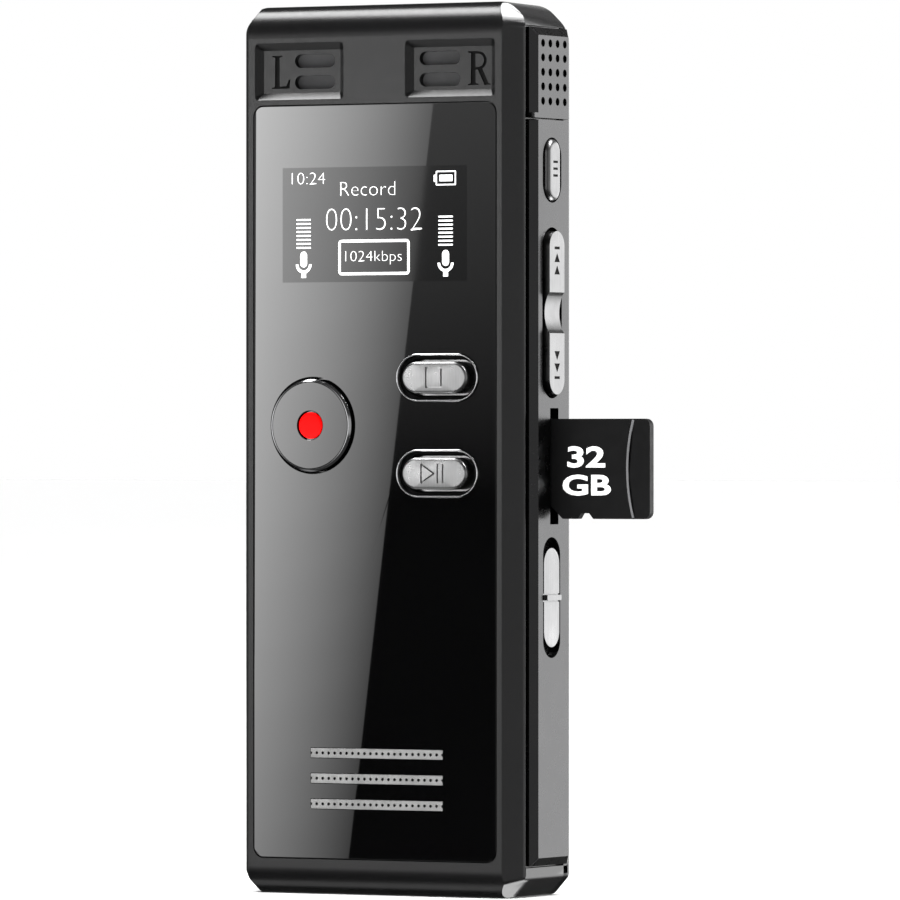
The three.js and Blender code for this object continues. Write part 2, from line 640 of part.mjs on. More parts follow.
function mainBoard() {
  const outline = polygon([
    [-12.0, 1.8], [-2.8, 1.8], [-2.8, 9], [15.9, 9], [15.9, 86], [12.6, 86], [12.6, 91.4],
    [11.2, 91.4], [11.2, 96.2], [-11.2, 96.2], [-11.2, 91.4], [-15.9, 91.4], [-15.9, 9], [-12.0, 9],
  ]);
  const board = plate(outline, [BOARD_FRONT, BOARD_FRONT + BOARD_THICKNESS]);
  const bores = BOARD_BOSSES.map(([x, z]) => pegY(x, z, 0.75, [8, 11], 10));
  return cutFrom(
    joined(board, chip(-4, 72, 9, 9), chip(7, 58, 8, 11), chip(-6, 50, 5, 5), chip(2, 30, 4, 6)),
    ...bores,
  );
}

function tactSwitch(x, z) {
  const top = KEY_BOARD_FRONT - 0.1 - TACT_HEIGHT;
  const half = TACT_SIZE / 2;
  return cutFrom(
    block([x - half, x + half], [top, top + TACT_HEIGHT], [z - half, z + half]),
    pegY(x, z, 1.1, [top - 1, top + 0.8], 10),
  );
}

function sideTactSwitch(z) {
  return cutFrom(
    block([SIDE_SWITCH_FACE - 2.2, SIDE_SWITCH_FACE], [5.75, BOARD_FRONT - 0.1], [z - 1.9, z + 1.9]),
    pegX(KEY_MID, z, 0.8, [SIDE_SWITCH_FACE - 0.9, SIDE_SWITCH_FACE + 1], 8),
  );
}

function slideSwitch() {
  return cutFrom(
    block([11.9, 15.0], [5.9, BOARD_FRONT - 0.1], [SLIDE.z - 3.4, SLIDE.z + 3.4]),
    block([13.7, 16], [6.6, 7.7], [SLIDE.z - 1.9, SLIDE.z + 1.9]),
  );
}

function displayModule() {
  const w = DISPLAY_HALF_WIDTH;
  return joined(
    block([-w, w], [WINDOW_THICKNESS + GAP, 2.3], [DISPLAY_LOW, DISPLAY_HIGH]),
    block([-w - 0.6, w + 0.6], [2.2, 3.2], [DISPLAY_LOW - 1, DISPLAY_HIGH + 0.1]),
  );
}

// A thin ribbon that drops from one level and runs back to the main board.
function ribbon(x, startDepth, startZ, levelZ) {
  const thin = 0.2;
  const end = BOARD_FRONT - 0.1;
  const step = levelZ > startZ ? thin : -thin;
  const shape = polygon([
    [startDepth, startZ], [startDepth + thin, startZ], [startDepth + thin, levelZ - step],
    [end, levelZ - step], [end, levelZ], [startDepth, levelZ],
  ]);
  return sidePlate(shape, x);
}

function speaker() {
  const frame = plate(roundedRect([STRIP.x - 9.6, STRIP.x + 9.6], [7.4, 18.2], 1.5), [2.15, 4.4], 1);
  return joined(frame, pegY(STRIP.x, STRIP.levels[1], 3.5, [4.3, 6.2], 16));
}

function speakerGasket() {
  return cutFrom(
    plate(roundedRect([STRIP.x - 9.6, STRIP.x + 9.6], [7.4, 18.2], 1.5), [1.6, 2.05], 1),
    block([STRIP.x - 8.3, STRIP.x + 8.3], [1, 3], [9.1, 16.5]),
  );
}

function jack(x) {
  return cutFrom(
    block([x - 3, x + 3], [4.75, BOARD_FRONT - 0.1], [85.2, CAVITY_HIGH - 0.15]),
    pegZ(x, JACK.y, JACK.radius, [86.5, HEIGHT]),
  );
}

function usbPort() {
  const shell = levelPlate(stadium(USB.x, USB.y, USB.length, USB.width), [0.3, 8.2]);
  const mouth = levelPlate(stadium(USB.x, USB.y, USB.length - 0.6, USB.width - 0.6), [-1, 6.6]);
  const tongue = block([USB.x - 3.3, USB.x + 3.3], [USB.y - 0.35, USB.y + 0.35], [1.2, 6.8]);
  return joined(cutFrom(shell, mouth), tongue);
}

function ringY(x, z, outer, inner, depth) {
  return cutFrom(pegY(x, z, outer, depth, 16), pegY(x, z, inner, [depth[0] - 1, depth[1] + 1], 16));
}

function screw(x, z, headRadius, headDepth, length) {
  return joined(
    pegY(x, z, headRadius, [headDepth, headDepth + 0.35], 14),
    pegY(x, z, 0.55, [headDepth - length, headDepth + 0.1], 8),
  );
}

// ---------------------------------------------------------------- assembly
addPiece('front_shell', frontShell(), FINISH.shell);
addPiece('rear_cover', rearCover(), FINISH.shell);
addPiece('right_rail', rightRail(), FINISH.rail);
addPiece('left_rail', leftRail(), FINISH.rail);
addPiece('mic_grille', micGrille(), FINISH.rail);
addPiece('window_panel', windowPanel(), FINISH.window);
addPiece('record_button', recordButton(), FINISH.keyCap);
addPiece('record_mark', recordMark(), FINISH.red);
for (const [name, z] of Object.entries(PILLS)) {
  addPiece(`${name}_bezel`, bezel(z), FINISH.chrome);
  addPiece(`${name}_button`, pillButton(z), FINISH.silver);
  addPiece(`${name}_switch`, tactSwitch(PILL_X, z), FINISH.dark);
}
STRIP.levels.forEach((z, index) => {
  addPiece(`speaker_grille_${index + 1}`, stripGrille(z), FINISH.grille);
});
addPiece('menu_button', menuButton(), FINISH.silver);
addPiece('rocker', rocker(), FINISH.silver);
addPiece('rocker_pin', pegY(ROCKER_PIVOT_X, ROCKER.z, 0.42, [4.9, 9.6], 10), FINISH.steel);
addPiece('slide_knob', slideKnob(), FINISH.silver);
addPiece('memory_card', memoryCard(), FINISH.card);
addPiece('card_socket', cardSocket(), FINISH.steel);
addPiece('main_board', mainBoard(), FINISH.board);
addPiece('key_board', block([-13, 13.6], [KEY_BOARD_FRONT, KEY_BOARD_FRONT + 0.6], [42.5, 61]), FINISH.board);
addPiece('record_switch', tactSwitch(RECORD.x, RECORD.z), FINISH.dark);
addPiece('menu_switch', sideTactSwitch(MENU.z), FINISH.dark);
addPiece('rocker_switch_upper', sideTactSwitch(ROCKER.z + 6), FINISH.dark);
addPiece('rocker_switch_lower', sideTactSwitch(ROCKER.z - 6), FINISH.dark);
addPiece('slide_switch', slideSwitch(), FINISH.dark);
addPiece('display_module', displayModule(), FINISH.dark);
addPiece('display_flex', ribbon([-4, 4], 2.4, DISPLAY_LOW - 1.1, 63.4), FINISH.flex);
addPiece('key_flex', ribbon([5, 10], KEY_BOARD_FRONT + 0.2, 61.1, 62.4), FINISH.flex);
addPiece('battery', plate(roundedRect([-15.6, 2.2], [22, 62], 0.8), [5.5, 8.7], 1), FINISH.battery);
addPiece('battery_pad', block([-13, 0], [FACE_THICKNESS + GAP, 5.4], [24, 40]), FINISH.foam);
addPiece('speaker', speaker(), FINISH.dark);
addPiece('speaker_gasket', speakerGasket(), FINISH.foam);
addPiece('headphone_jack', jack(-JACK.x), FINISH.dark);
addPiece('microphone_jack', jack(JACK.x), FINISH.dark);
addPiece('usb_port', usbPort(), FINISH.steel);
for (const [name, side] of [['left', -1], ['right', 1]]) {
  const x = side * FRONT_MIC.x;
  addPiece(`${name}_microphone`, pegY(x, FRONT_MIC.z, FRONT_MIC.radius, [2.4, 4.6]), FINISH.steel);
  addPiece(`${name}_mic_gasket`, ringY(x, FRONT_MIC.z, 3.3, 2.7, [1.6, 2.3]), FINISH.rubber);
}
addPiece('side_microphone', pegX(RAIL_MID, SIDE_MIC.z, SIDE_MIC.radius, [13.3, 15.5], 16), FINISH.steel);
addPiece('side_mic_gasket', cutFrom(
  pegX(RAIL_MID, SIDE_MIC.z, SIDE_MIC.radius, [15.6, 16.15], 16),
  pegX(RAIL_MID, SIDE_MIC.z, SIDE_MIC.radius - 0.5, [15, 17], 16),
), FINISH.rubber);
BOSSES.forEach(([x, z], index) => {
  addPiece(`cover_screw_${index + 1}`, screw(x, z, 1.3, DEPTH - 0.4, 4.5), FINISH.steel);
});
BOARD_BOSSES.forEach(([x, z], index) => {
  addPiece(`board_screw_${index + 1}`, screw(x, z, 1.3, BOARD_FRONT + BOARD_THICKNESS + 0.1, 4), FINISH.steel);
});

export default recorder;
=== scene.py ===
# Looks for the handheld voice recorder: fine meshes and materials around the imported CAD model.
# Every length in the drawing helpers is in millimetres; meshes are scaled to metres at the end.
import math

import bmesh
import bpy
from mathutils import Matrix, Vector

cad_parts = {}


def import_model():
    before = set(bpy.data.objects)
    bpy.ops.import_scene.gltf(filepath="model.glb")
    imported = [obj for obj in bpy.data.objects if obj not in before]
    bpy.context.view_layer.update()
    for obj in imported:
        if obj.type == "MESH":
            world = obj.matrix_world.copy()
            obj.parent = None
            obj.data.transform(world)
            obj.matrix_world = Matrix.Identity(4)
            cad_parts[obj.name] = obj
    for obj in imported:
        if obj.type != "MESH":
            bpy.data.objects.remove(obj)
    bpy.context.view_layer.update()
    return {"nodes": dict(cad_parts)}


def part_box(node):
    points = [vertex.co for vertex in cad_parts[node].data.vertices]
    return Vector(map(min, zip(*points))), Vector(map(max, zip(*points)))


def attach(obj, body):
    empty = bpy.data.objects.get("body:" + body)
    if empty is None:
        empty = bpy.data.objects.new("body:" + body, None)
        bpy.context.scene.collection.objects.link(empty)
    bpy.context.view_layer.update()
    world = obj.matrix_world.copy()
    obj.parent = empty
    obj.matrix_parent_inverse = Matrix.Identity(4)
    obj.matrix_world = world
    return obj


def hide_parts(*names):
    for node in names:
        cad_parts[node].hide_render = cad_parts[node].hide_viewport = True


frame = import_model()
MM = 0.001

# ---------------------------------------------------------------- sizes, mostly from the frame


def box_mm(node):
    """Lowest and highest corner of a CAD node, in millimetres."""
    low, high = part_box(node)
    return low / MM, high / MM


SHELL_LOW, SHELL_HIGH = box_mm("front_shell")
COVER_LOW, COVER_HIGH = box_mm("rear_cover")
RAIL_LOW, RAIL_HIGH = box_mm("right_rail")
LEFT_LOW, LEFT_HIGH = box_mm("left_rail")
GRILLE_LOW, GRILLE_HIGH = box_mm("mic_grille")
WINDOW_LOW, WINDOW_HIGH = box_mm("window_panel")
FRONT = SHELL_LOW.y
BACK = COVER_HIGH.y
HEIGHT = SHELL_HIGH.z
HALF_WIDTH = SHELL_HIGH.x
SHELL_DEPTH = SHELL_HIGH.y - FRONT
DEPTH = BACK - FRONT

FACE_HALF_WIDTH = 15.95     # flat part of the face
CHAMFER_DEPTH = 2.3         # how far the side chamfer runs back
ROLL_DEPTH = 2.4            # how far the rolled ends run back
ROLL_TOP = 3.6
ROLL_BOTTOM = 3.0
CORNER_X = 15.45            # where the top corner cut begins
RAIL_FLOOR = 17.1           # floor of the recess that holds a rail
RECESS_DEPTH = 2.42         # where that recess begins, behind the face
RIB_TOP = 85.85             # top of the rib under the side microphone's holes
RAIL_MID = 7.62             # depth of the rail's middle
KEY_MID = 7.25              # depth of the side keys' middle
CAVITY = 16.3               # half the width of the hollow inside
KNOB_MID = KEY_MID - 0.1    # depth of the slide knob's middle
RAIL_FACE = RAIL_HIGH.x     # the rail's proud face
RECORD_AT = (-7.74, 51.68)  # middle of the record button
KEY_X = 7.985               # middle of the stop and play keys
STOP_Z, PLAY_Z = 56.9, 46.4
MENU_Z, ROCKER_Z, KNOB_Z = 79.64, 64.0, 32.8
JACK_X, JACK_DEPTH = 5.6, 6.85
SCREW_PLACES = [(-14.2, 6.0), (14.2, 6.0), (-14.2, 94.2), (14.2, 94.2)]


def depth(value):
    """Y of a depth counted back from the front face."""
    return FRONT + value


# ---------------------------------------------------------------- outlines


def arc(cx, cy, radius, start, end, steps):
    """Points on an arc, angles in degrees, both ends included."""
    points = []
    for i in range(steps + 1):
        angle = math.radians(start + (end - start) * i / steps)
        points.append((cx + radius * math.cos(angle), cy + radius * math.sin(angle)))
    return points


def circle(cx, cy, radius, steps=48):
    """Points on a full circle."""
    return arc(cx, cy, radius, 0, 360 * (steps - 1) / steps, steps - 1)


def rounded(x0, x1, y0, y1, radius, steps=8):
    """A rectangle with round corners."""
    return (
        arc(x1 - radius, y0 + radius, radius, -90, 0, steps)
        + arc(x1 - radius, y1 - radius, radius, 0, 90, steps)
        + arc(x0 + radius, y1 - radius, radius, 90, 180, steps)
        + arc(x0 + radius, y0 + radius, radius, 180, 270, steps)
    )


def pill(cx, cy, width, height, inset=0.0, steps=14):
    """A bar with round ends, centred, made smaller all round by inset."""
    w = width / 2 - inset
    h = height / 2 - inset
    r = min(w, h) - 1e-4
    return rounded(cx - w, cx + w, cy - h, cy + h, r, steps)


def filleted(corners, steps=5):
    """A polygon whose corners are (x, y, radius), each rounded by its own arc."""
    points = []
    count = len(corners)
    for i, (x, y, radius) in enumerate(corners):
        here = Vector((x, y))
        before = (Vector(corners[i - 1][:2]) - here).normalized()
        after = (Vector(corners[(i + 1) % count][:2]) - here).normalized()
        half = before.angle(after) / 2
        reach = radius / math.tan(half)
        middle = here + (before + after).normalized() * (radius / math.sin(half))
        first = here + before * reach - middle
        last = here + after * reach - middle
        turn = math.atan2(first.x * last.y - first.y * last.x, first.dot(last))
        base = math.atan2(first.y, first.x)
        for k in range(steps + 1):
            angle = base + turn * k / steps
            points.append((middle.x + radius * math.cos(angle), middle.y + radius * math.sin(angle)))
    return points


def stroke(x0, y0, x1, y1, width):
    """A straight line with a width, as a rectangle."""
    along = Vector((x1 - x0, y1 - y0)).normalized()
    side = Vector((-along.y, along.x)) * width / 2
    a, b = Vector((x0, y0)), Vector((x1, y1))
    return [tuple(a - side), tuple(b - side), tuple(b + side), tuple(a + side)]


# ---------------------------------------------------------------- placing drawings in space
# A drawing has two axes and a level; each plane maps (a, b, level) to (x, y, z).


def face_plane(a, b, level):
    """Drawn on the front: a is X, b is Z, level is the depth behind the face."""
    return (a, depth(level), b)


def side_plane(a, b, level):
    """Drawn on the right side: a is the depth, b is Z, level is X."""
    return (level, depth(a), b)


def floor_plane(a, b, level):
    """Drawn from above: a is X, b is the depth, level is Z."""
    return (a, depth(b), level)


# ---------------------------------------------------------------- mesh helpers


def add_object(name, data):
    """An object for some data, linked to the scene."""
    made = bpy.data.objects.new(name, data)
    bpy.context.scene.collection.objects.link(made)
    return made


def mesh_object(name, bm):
    """A Blender object from a bmesh in millimetres, with doubled points merged."""
    bmesh.ops.remove_doubles(bm, verts=bm.verts, dist=1e-5)
    mesh = bpy.data.meshes.new(name)
    bm.to_mesh(mesh)
    bm.free()
    return add_object(name, mesh)


def face_outward(piece):
    """Turns every face of a closed piece outward."""
    bm = bmesh.new()
    bm.from_mesh(piece.data)
    bmesh.ops.recalc_face_normals(bm, faces=bm.faces)
    bm.to_mesh(piece.data)
    bm.free()
    return piece


def new_piece(name, bm):
    """A closed piece from a bmesh in millimetres."""
    return face_outward(mesh_object(name, bm))


def skin_into(bm, rings, closed=False):
    """Adds a skin through rings of 3-D points of equal length; returns its caps, none if it is closed."""
    rows = [[bm.verts.new(p) for p in ring] for ring in rings]
    count = len(rows[0])
    pairs = list(zip(rows, rows[1:]))
    if closed:
        pairs.append((rows[-1], rows[0]))
    for low, high in pairs:
        for i in range(count):
            j = (i + 1) % count
            bm.faces.new((low[i], low[j], high[j], high[i]))
    return [] if closed else [bm.faces.new(rows[0]), bm.faces.new(rows[-1])]


def loft(name, rings, plane=None, closed=False, hollowed=False):
    """A skin through rings: lists of 3-D points, or with a plane, drawings with their levels.

    Outlines with hollow sides need the normals of their caps before these are split into triangles.
    """
    if plane:
        rings = [[plane(a, b, level) for a, b in points] for points, level in rings]
    bm = bmesh.new()
    caps = skin_into(bm, rings, closed)
    if hollowed:
        bm.normal_update()
    if caps:
        bmesh.ops.triangulate(bm, faces=caps, ngon_method="EAR_CLIP")
    return new_piece(name, bm)


def slab(point, normal, reach=7):
    """A cutter whose lower face lies on a plane, on the side that the normal points to."""
    normal = Vector(normal).normalized()
    across = normal.orthogonal().normalized()
    other = normal.cross(across)
    base = Vector((point[0], depth(point[1]), point[2]))
    square = [base + across * a * reach + other * b * reach for a, b in ((-1, -1), (1, -1), (1, 1), (-1, 1))]
    return loft("slab", [square, [p + normal * reach for p in square]])


def prism(name, points, plane, levels, hollowed=False):
    """A drawing extruded between two levels."""
    return loft(name, [(points, levels[0]), (points, levels[1])], plane, hollowed=hollowed)


def letter_prism(outlines, top, bottom):
    """The outlines of a letter as one solid; each part ends at its own level, so that no faces coincide."""
    parts = []
    for i, outline in enumerate(outlines):
        levels = (top + 0.01 * i, bottom + 0.004 * i)
        parts.append(prism("channel_letters", outline, face_plane, levels, True))
    return combine(parts[0], parts[1:], "UNION") if len(parts) > 1 else parts[0]


def lathe_y(name, cx, cz, profile, steps=96):
    """A round piece about an axis along the depth; the profile is (radius, depth) from axis to axis."""
    bm = bmesh.new()
    rows = []
    for radius, level in profile:
        if radius < 1e-6:
            rows.append([bm.verts.new((cx, depth(level), cz))])
            continue
        ring = circle(cx, cz, radius, steps)
        rows.append([bm.verts.new((x, depth(level), z)) for x, z in ring])
    for low, high in zip(rows, rows[1:]):
        for i in range(steps):
            j = (i + 1) % steps
            quad = [low[i % len(low)], low[j % len(low)], high[j % len(high)], high[i % len(high)]]
            corners = list(dict.fromkeys(quad))
            if len(corners) > 2:
                bm.faces.new(corners)
    return new_piece(name, bm)


def settle(piece):
    """Applies the modifiers of a piece to its mesh."""
    graph = bpy.context.evaluated_depsgraph_get()
    mesh = bpy.data.meshes.new_from_object(piece.evaluated_get(graph))
    old = piece.data
    piece.modifiers.clear()
    piece.data = mesh
    bpy.data.meshes.remove(old)
    return piece


def combine(piece, tools, operation="DIFFERENCE"):
    """Cuts the tools out of a piece, or joins them to it, and removes the tools."""
    for tool in tools:
        modifier = piece.modifiers.new("cut", "BOOLEAN")
        modifier.operation = operation
        modifier.solver = "EXACT"
        modifier.object = tool
    settle(piece)
    for tool in tools:
        bpy.data.objects.remove(tool)
    return piece


def cut(piece, outlines, plane, levels):
    """Cuts drawings out of a piece, between two levels."""
    return combine(piece, [prism("cutter", outline, plane, levels) for outline in outlines])


def soften(piece, width, segments=2, angle=30, clamp=True):
    """Rounds the sharp edges by a width in millimetres."""
    modifier = piece.modifiers.new("edges", "BEVEL")
    modifier.width = width
    modifier.segments = segments
    modifier.limit_method = "ANGLE"
    modifier.angle_limit = math.radians(angle)
    modifier.miter_outer = "MITER_ARC"
    modifier.use_clamp_overlap = clamp
    return settle(piece)


def smooth(piece, angle=28):
    """Smooth shading, with edges sharper than the angle kept crisp."""
    mesh = piece.data
    for polygon in mesh.polygons:
        polygon.use_smooth = True
    mesh.set_sharp_from_angle(angle=math.radians(angle))
    modifier = piece.modifiers.new("normals", "WEIGHTED_NORMAL")
    modifier.keep_sharp = True
    modifier.weight = 50
    return settle(piece)


def dress(piece, material, body, replaced=()):
    """Scales to metres, puts the material in the piece's slot, attaches it to its body and hides the CAD nodes
    that it stands for.
    """
    piece.data.transform(Matrix.Scale(MM, 4))
    piece.data.materials.clear()
    piece.data.materials.append(material)
    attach(piece, body)
    if replaced:
        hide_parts(*replaced)
    return piece


# ---------------------------------------------------------------- materials


def set_inputs(node, values):
    """Sets a shader node's sockets by name."""
    for socket, value in values.items():
        node.inputs[socket].default_value = value


def add_node(tree, kind, values=None):
    """A shader node with some of its sockets set."""
    node = tree.nodes.new("ShaderNode" + kind)
    set_inputs(node, values or {})
    return node


def ranged(tree, source, low, high, start=0.0, end=1.0, smooth_step=False):
    """A value that runs from low to high while the source runs from start to end."""
    node = add_node(tree, "MapRange", {"From Min": start, "From Max": end, "To Min": low, "To Max": high})
    if smooth_step:
        node.interpolation_type = "SMOOTHSTEP"
    tree.links.new(source, node.inputs["Value"])
    return node.outputs["Result"]


def combined(tree, operation, first, second):
    """The result of a sum, product or the like; each side is a socket or a number."""
    node = add_node(tree, "Math")
    node.operation = operation
    for socket, value in zip(node.inputs, (first, second)):
        if isinstance(value, (int, float)):
            socket.default_value = value
        else:
            tree.links.new(value, socket)
    return node.outputs["Value"]


def adjust(material, values):
    """Sets further inputs of a material's shader."""
    set_inputs(material.node_tree.nodes["Principled BSDF"], values)


class Nodes:
    """A material with one Principled shader and short calls for the nodes that drive it."""

    PATTERN_LOW, PATTERN_HIGH = 0.3, 0.7        # the part of a noise that is stretched to full swing

    def __init__(self, name, color, roughness, metallic=0.0):
        self.material = bpy.data.materials.new(name)
        self.material.use_nodes = True
        self.tree = self.material.node_tree
        self.shader = self.tree.nodes["Principled BSDF"]
        adjust(self.material, {"Base Color": (*color, 1), "Roughness": roughness, "Metallic": metallic})
        self.coords = add_node(self.tree, "TexCoord")

    def link(self, source, target):
        self.tree.links.new(source, target)

    def mapped(self, scale, rotation=(0, 0, 0)):
        """Object coordinates scaled per axis, so that 1 unit is 1/scale metres."""
        node = add_node(self.tree, "Mapping", {"Rotation": rotation, "Scale": scale})
        self.link(self.coords.outputs["Object"], node.inputs["Vector"])
        return node.outputs["Vector"]

    def noise(self, scale, detail=4.0, rough=0.55):
        """Noise at a scale, or at one scale per axis."""
        if not isinstance(scale, tuple):
            scale = (scale, scale, scale)
        node = add_node(self.tree, "TexNoise", {"Scale": 1.0, "Detail": detail, "Roughness": rough})
        self.link(self.mapped(scale), node.inputs["Vector"])
        return node.outputs["Fac"]

    def tint(self, value, dark, light):
        """Colour between two ends, driven by a pattern."""
        ramp = add_node(self.tree, "ValToRGB")
        ends = ((self.PATTERN_LOW, dark), (self.PATTERN_HIGH, light))
        for element, (position, color) in zip(ramp.color_ramp.elements, ends):
            element.position = position
            element.color = (*color, 1)
        self.link(value, ramp.inputs["Fac"])
        self.link(ramp.outputs["Color"], self.shader.inputs["Base Color"])

    def roughen(self, value, low, high):
        result = ranged(self.tree, value, low, high, self.PATTERN_LOW, self.PATTERN_HIGH)
        self.link(result, self.shader.inputs["Roughness"])

    def bump(self, value, strength, distance):
        node = add_node(self.tree, "Bump", {"Strength": strength, "Distance": distance})
        self.link(value, node.inputs["Height"])
        self.link(node.outputs["Normal"], self.shader.inputs["Normal"])


def shade(color, factor):
    """A colour made darker or lighter."""
    return tuple(c * factor for c in color)


def grained(name, color, roughness, metallic=0.0, grain=4000, depth_m=2e-6, swing=0.12, spread=0.05,
            gloss=0.5):
    """Moulded or painted surface: fine grain in the bump, a soft drift in colour and roughness."""
    nodes = Nodes(name, color, roughness, metallic)
    adjust(nodes.material, {"Specular IOR Level": gloss})
    nodes.tint(nodes.noise(160), shade(color, 1 - swing), shade(color, 1 + swing))
    nodes.roughen(nodes.noise(900, 6), roughness - spread, roughness + spread)
    nodes.bump(nodes.noise(grain, 2), 0.3, depth_m)
    return nodes.material


def brushed(name, color, roughness, along="z", metallic=1.0, strength=0.25, spread=0.06):
    """Metal with fine drawn lines along one axis."""
    scale = {"x": (300, 9000, 9000), "y": (9000, 300, 9000), "z": (9000, 9000, 300)}[along]
    nodes = Nodes(name, color, roughness, metallic)
    lines = nodes.noise(scale, 3)
    nodes.tint(lines, shade(color, 0.9), shade(color, 1.06))
    nodes.roughen(nodes.noise(500, 5), roughness - spread, roughness + spread)
    nodes.bump(lines, strength, 1.5e-6)
    return nodes.material


def glossy(name, color, roughness, smudge=0.03, ior=1.5):
    """Polished plastic or glass, with faint smudges in its roughness."""
    nodes = Nodes(name, color, roughness)
    adjust(nodes.material, {"IOR": ior})
    nodes.tint(nodes.noise(70), shade(color, 0.85), shade(color, 1.15))
    nodes.roughen(nodes.noise((120, 120, 60), 7, 0.65), roughness, roughness + smudge)
    nodes.bump(nodes.noise(60, 1), 0.02, 1e-6)
    return nodes.material


def board_paint(name):
    """Green solder mask over copper tracks."""
    color = (0.012, 0.085, 0.032)
    nodes = Nodes(name, color, 0.35)
    tracks = add_node(nodes.tree, "TexBrick", {
        "Scale": 1.0, "Mortar Size": 0.06, "Color1": (*shade(color, 0.8), 1),
        "Color2": (*color, 1), "Mortar": (*shade(color, 1.9), 1),
    })
    upright = (math.radians(90), 0, 0)
    nodes.link(nodes.mapped((420, 420, 420), upright), tracks.inputs["Vector"])
    nodes.link(tracks.outputs["Color"], nodes.shader.inputs["Base Color"])
    nodes.roughen(nodes.noise(700), 0.28, 0.45)
    nodes.bump(tracks.outputs["Fac"], 0.3, 1e-5)
    return nodes.material


def glowing(name, color, strength):
    """Lit display marks, uneven like dots seen close."""
    nodes = Nodes(name, color, 0.25)
    adjust(nodes.material, {"Emission Color": (*color, 1), "Emission Strength": strength})
    nodes.tint(nodes.noise(4000, 1), shade(color, 0.92), color)
    nodes.roughen(nodes.noise(900), 0.2, 0.3)
    return nodes.material


SHELL_COLOR = (0.0048, 0.0048, 0.005)
RAIL_COLOR = (0.06, 0.06, 0.061)
PAINT = grained("case_paint", SHELL_COLOR, 0.25, grain=2500, depth_m=1.2e-6, swing=0.08, spread=0.015)
RAIL = grained("rail_metal", RAIL_COLOR, 0.28, metallic=1.0, grain=3500, depth_m=8e-7, swing=0.04, spread=0.02)
WINDOW = glossy("window_gloss", (0.0008, 0.0008, 0.0009), 0.006, smudge=0.004)
SCREEN = glossy("screen_black", (0.0012, 0.0012, 0.0013), 0.02, smudge=0.01, ior=1.385)
SILVER = brushed("key_silver", (0.22, 0.22, 0.222), 0.3, along="z", strength=0.06)
# The front keys' crown is a lighter copy of the key silver: painted brightness to suit the light those keys get.
CROWN = brushed("key_crown", (0.46, 0.46, 0.462), 0.3, along="z", strength=0.06)
CHROME = brushed("bezel_chrome", (0.6, 0.6, 0.61), 0.12, along="x", strength=0.05, spread=0.03)
CAP = glossy("record_cap", (0.0008, 0.0008, 0.0009), 0.01, smudge=0.006)
RED = glossy("record_red", (0.9, 0.0, 0.0), 0.4, smudge=0.1)
# The red mark glows a little though it is no lamp: painted brightness that keeps it pure red.
adjust(RED, {"Specular IOR Level": 0.12, "Emission Color": (1, 0, 0, 1), "Emission Strength": 0.35})
STRIP = brushed("grille_metal", (0.45, 0.45, 0.445), 0.35, along="x", strength=0.1)
BOARD = board_paint("board_green")
PART_BLACK = grained("component_black", (0.018, 0.018, 0.02), 0.5, grain=5000, swing=0.2)
STEEL = brushed("plain_steel", (0.5, 0.5, 0.51), 0.3, along="x")
RUBBER = grained("gasket_rubber", (0.015, 0.015, 0.016), 0.8, grain=2500, depth_m=1e-5, swing=0.25)
FOAM = grained("foam", (0.035, 0.035, 0.038), 0.95, grain=1800, depth_m=6e-5, swing=0.4)
CLOTH = grained("dust_cloth", (0.075, 0.075, 0.077), 0.9, grain=2600, depth_m=1e-5, swing=0.2)
FOIL = brushed("battery_foil", (0.55, 0.56, 0.58), 0.35, along="z", metallic=0.85)
FILM = grained("flex_film", (0.42, 0.17, 0.03), 0.35, grain=900, depth_m=5e-6, swing=0.2)
CARD = grained("card_black", (0.005, 0.005, 0.0053), 0.5, grain=3000, depth_m=1e-6, swing=0.15, gloss=0.2)
RIDGE = grained("card_ridge", (0.16, 0.16, 0.165), 0.5, grain=6000, depth_m=1e-6, swing=0.1)
GOLD = brushed("contact_gold", (0.85, 0.55, 0.18), 0.25, along="x")
PRINT = grained("white_print", (0.9, 0.9, 0.9), 0.5, grain=5000, swing=0.03)
# The print is white in itself; its faint glow is painted brightness, as print is no lamp.
adjust(PRINT, {"Emission Color": (1, 1, 1, 1), "Emission Strength": 0.35})
MARKS = glowing("display_marks", (1.0, 1.0, 1.0), 0.9)
SIGN = grained("sign_grey", (0.006, 0.006, 0.006), 0.6, grain=3000, swing=0.2, gloss=0.05)
# Near-black fill in the sunk L and R letters: painted shade that stands in for the shadow inside the engraving.
LETTER_SHADE = grained("painted_letter_shade", (0.006, 0.006, 0.006), 0.6, grain=3000, swing=0.2, gloss=0.2)
# Near-black sheets and sleeves in holes and moats: painted shade where the hollow would be dark.
PAINTED_HOLLOW_SHADE = grained("painted_hollow_shade", (0.002, 0.002, 0.002), 0.9, grain=3000, swing=0.2)

# ---------------------------------------------------------------- case


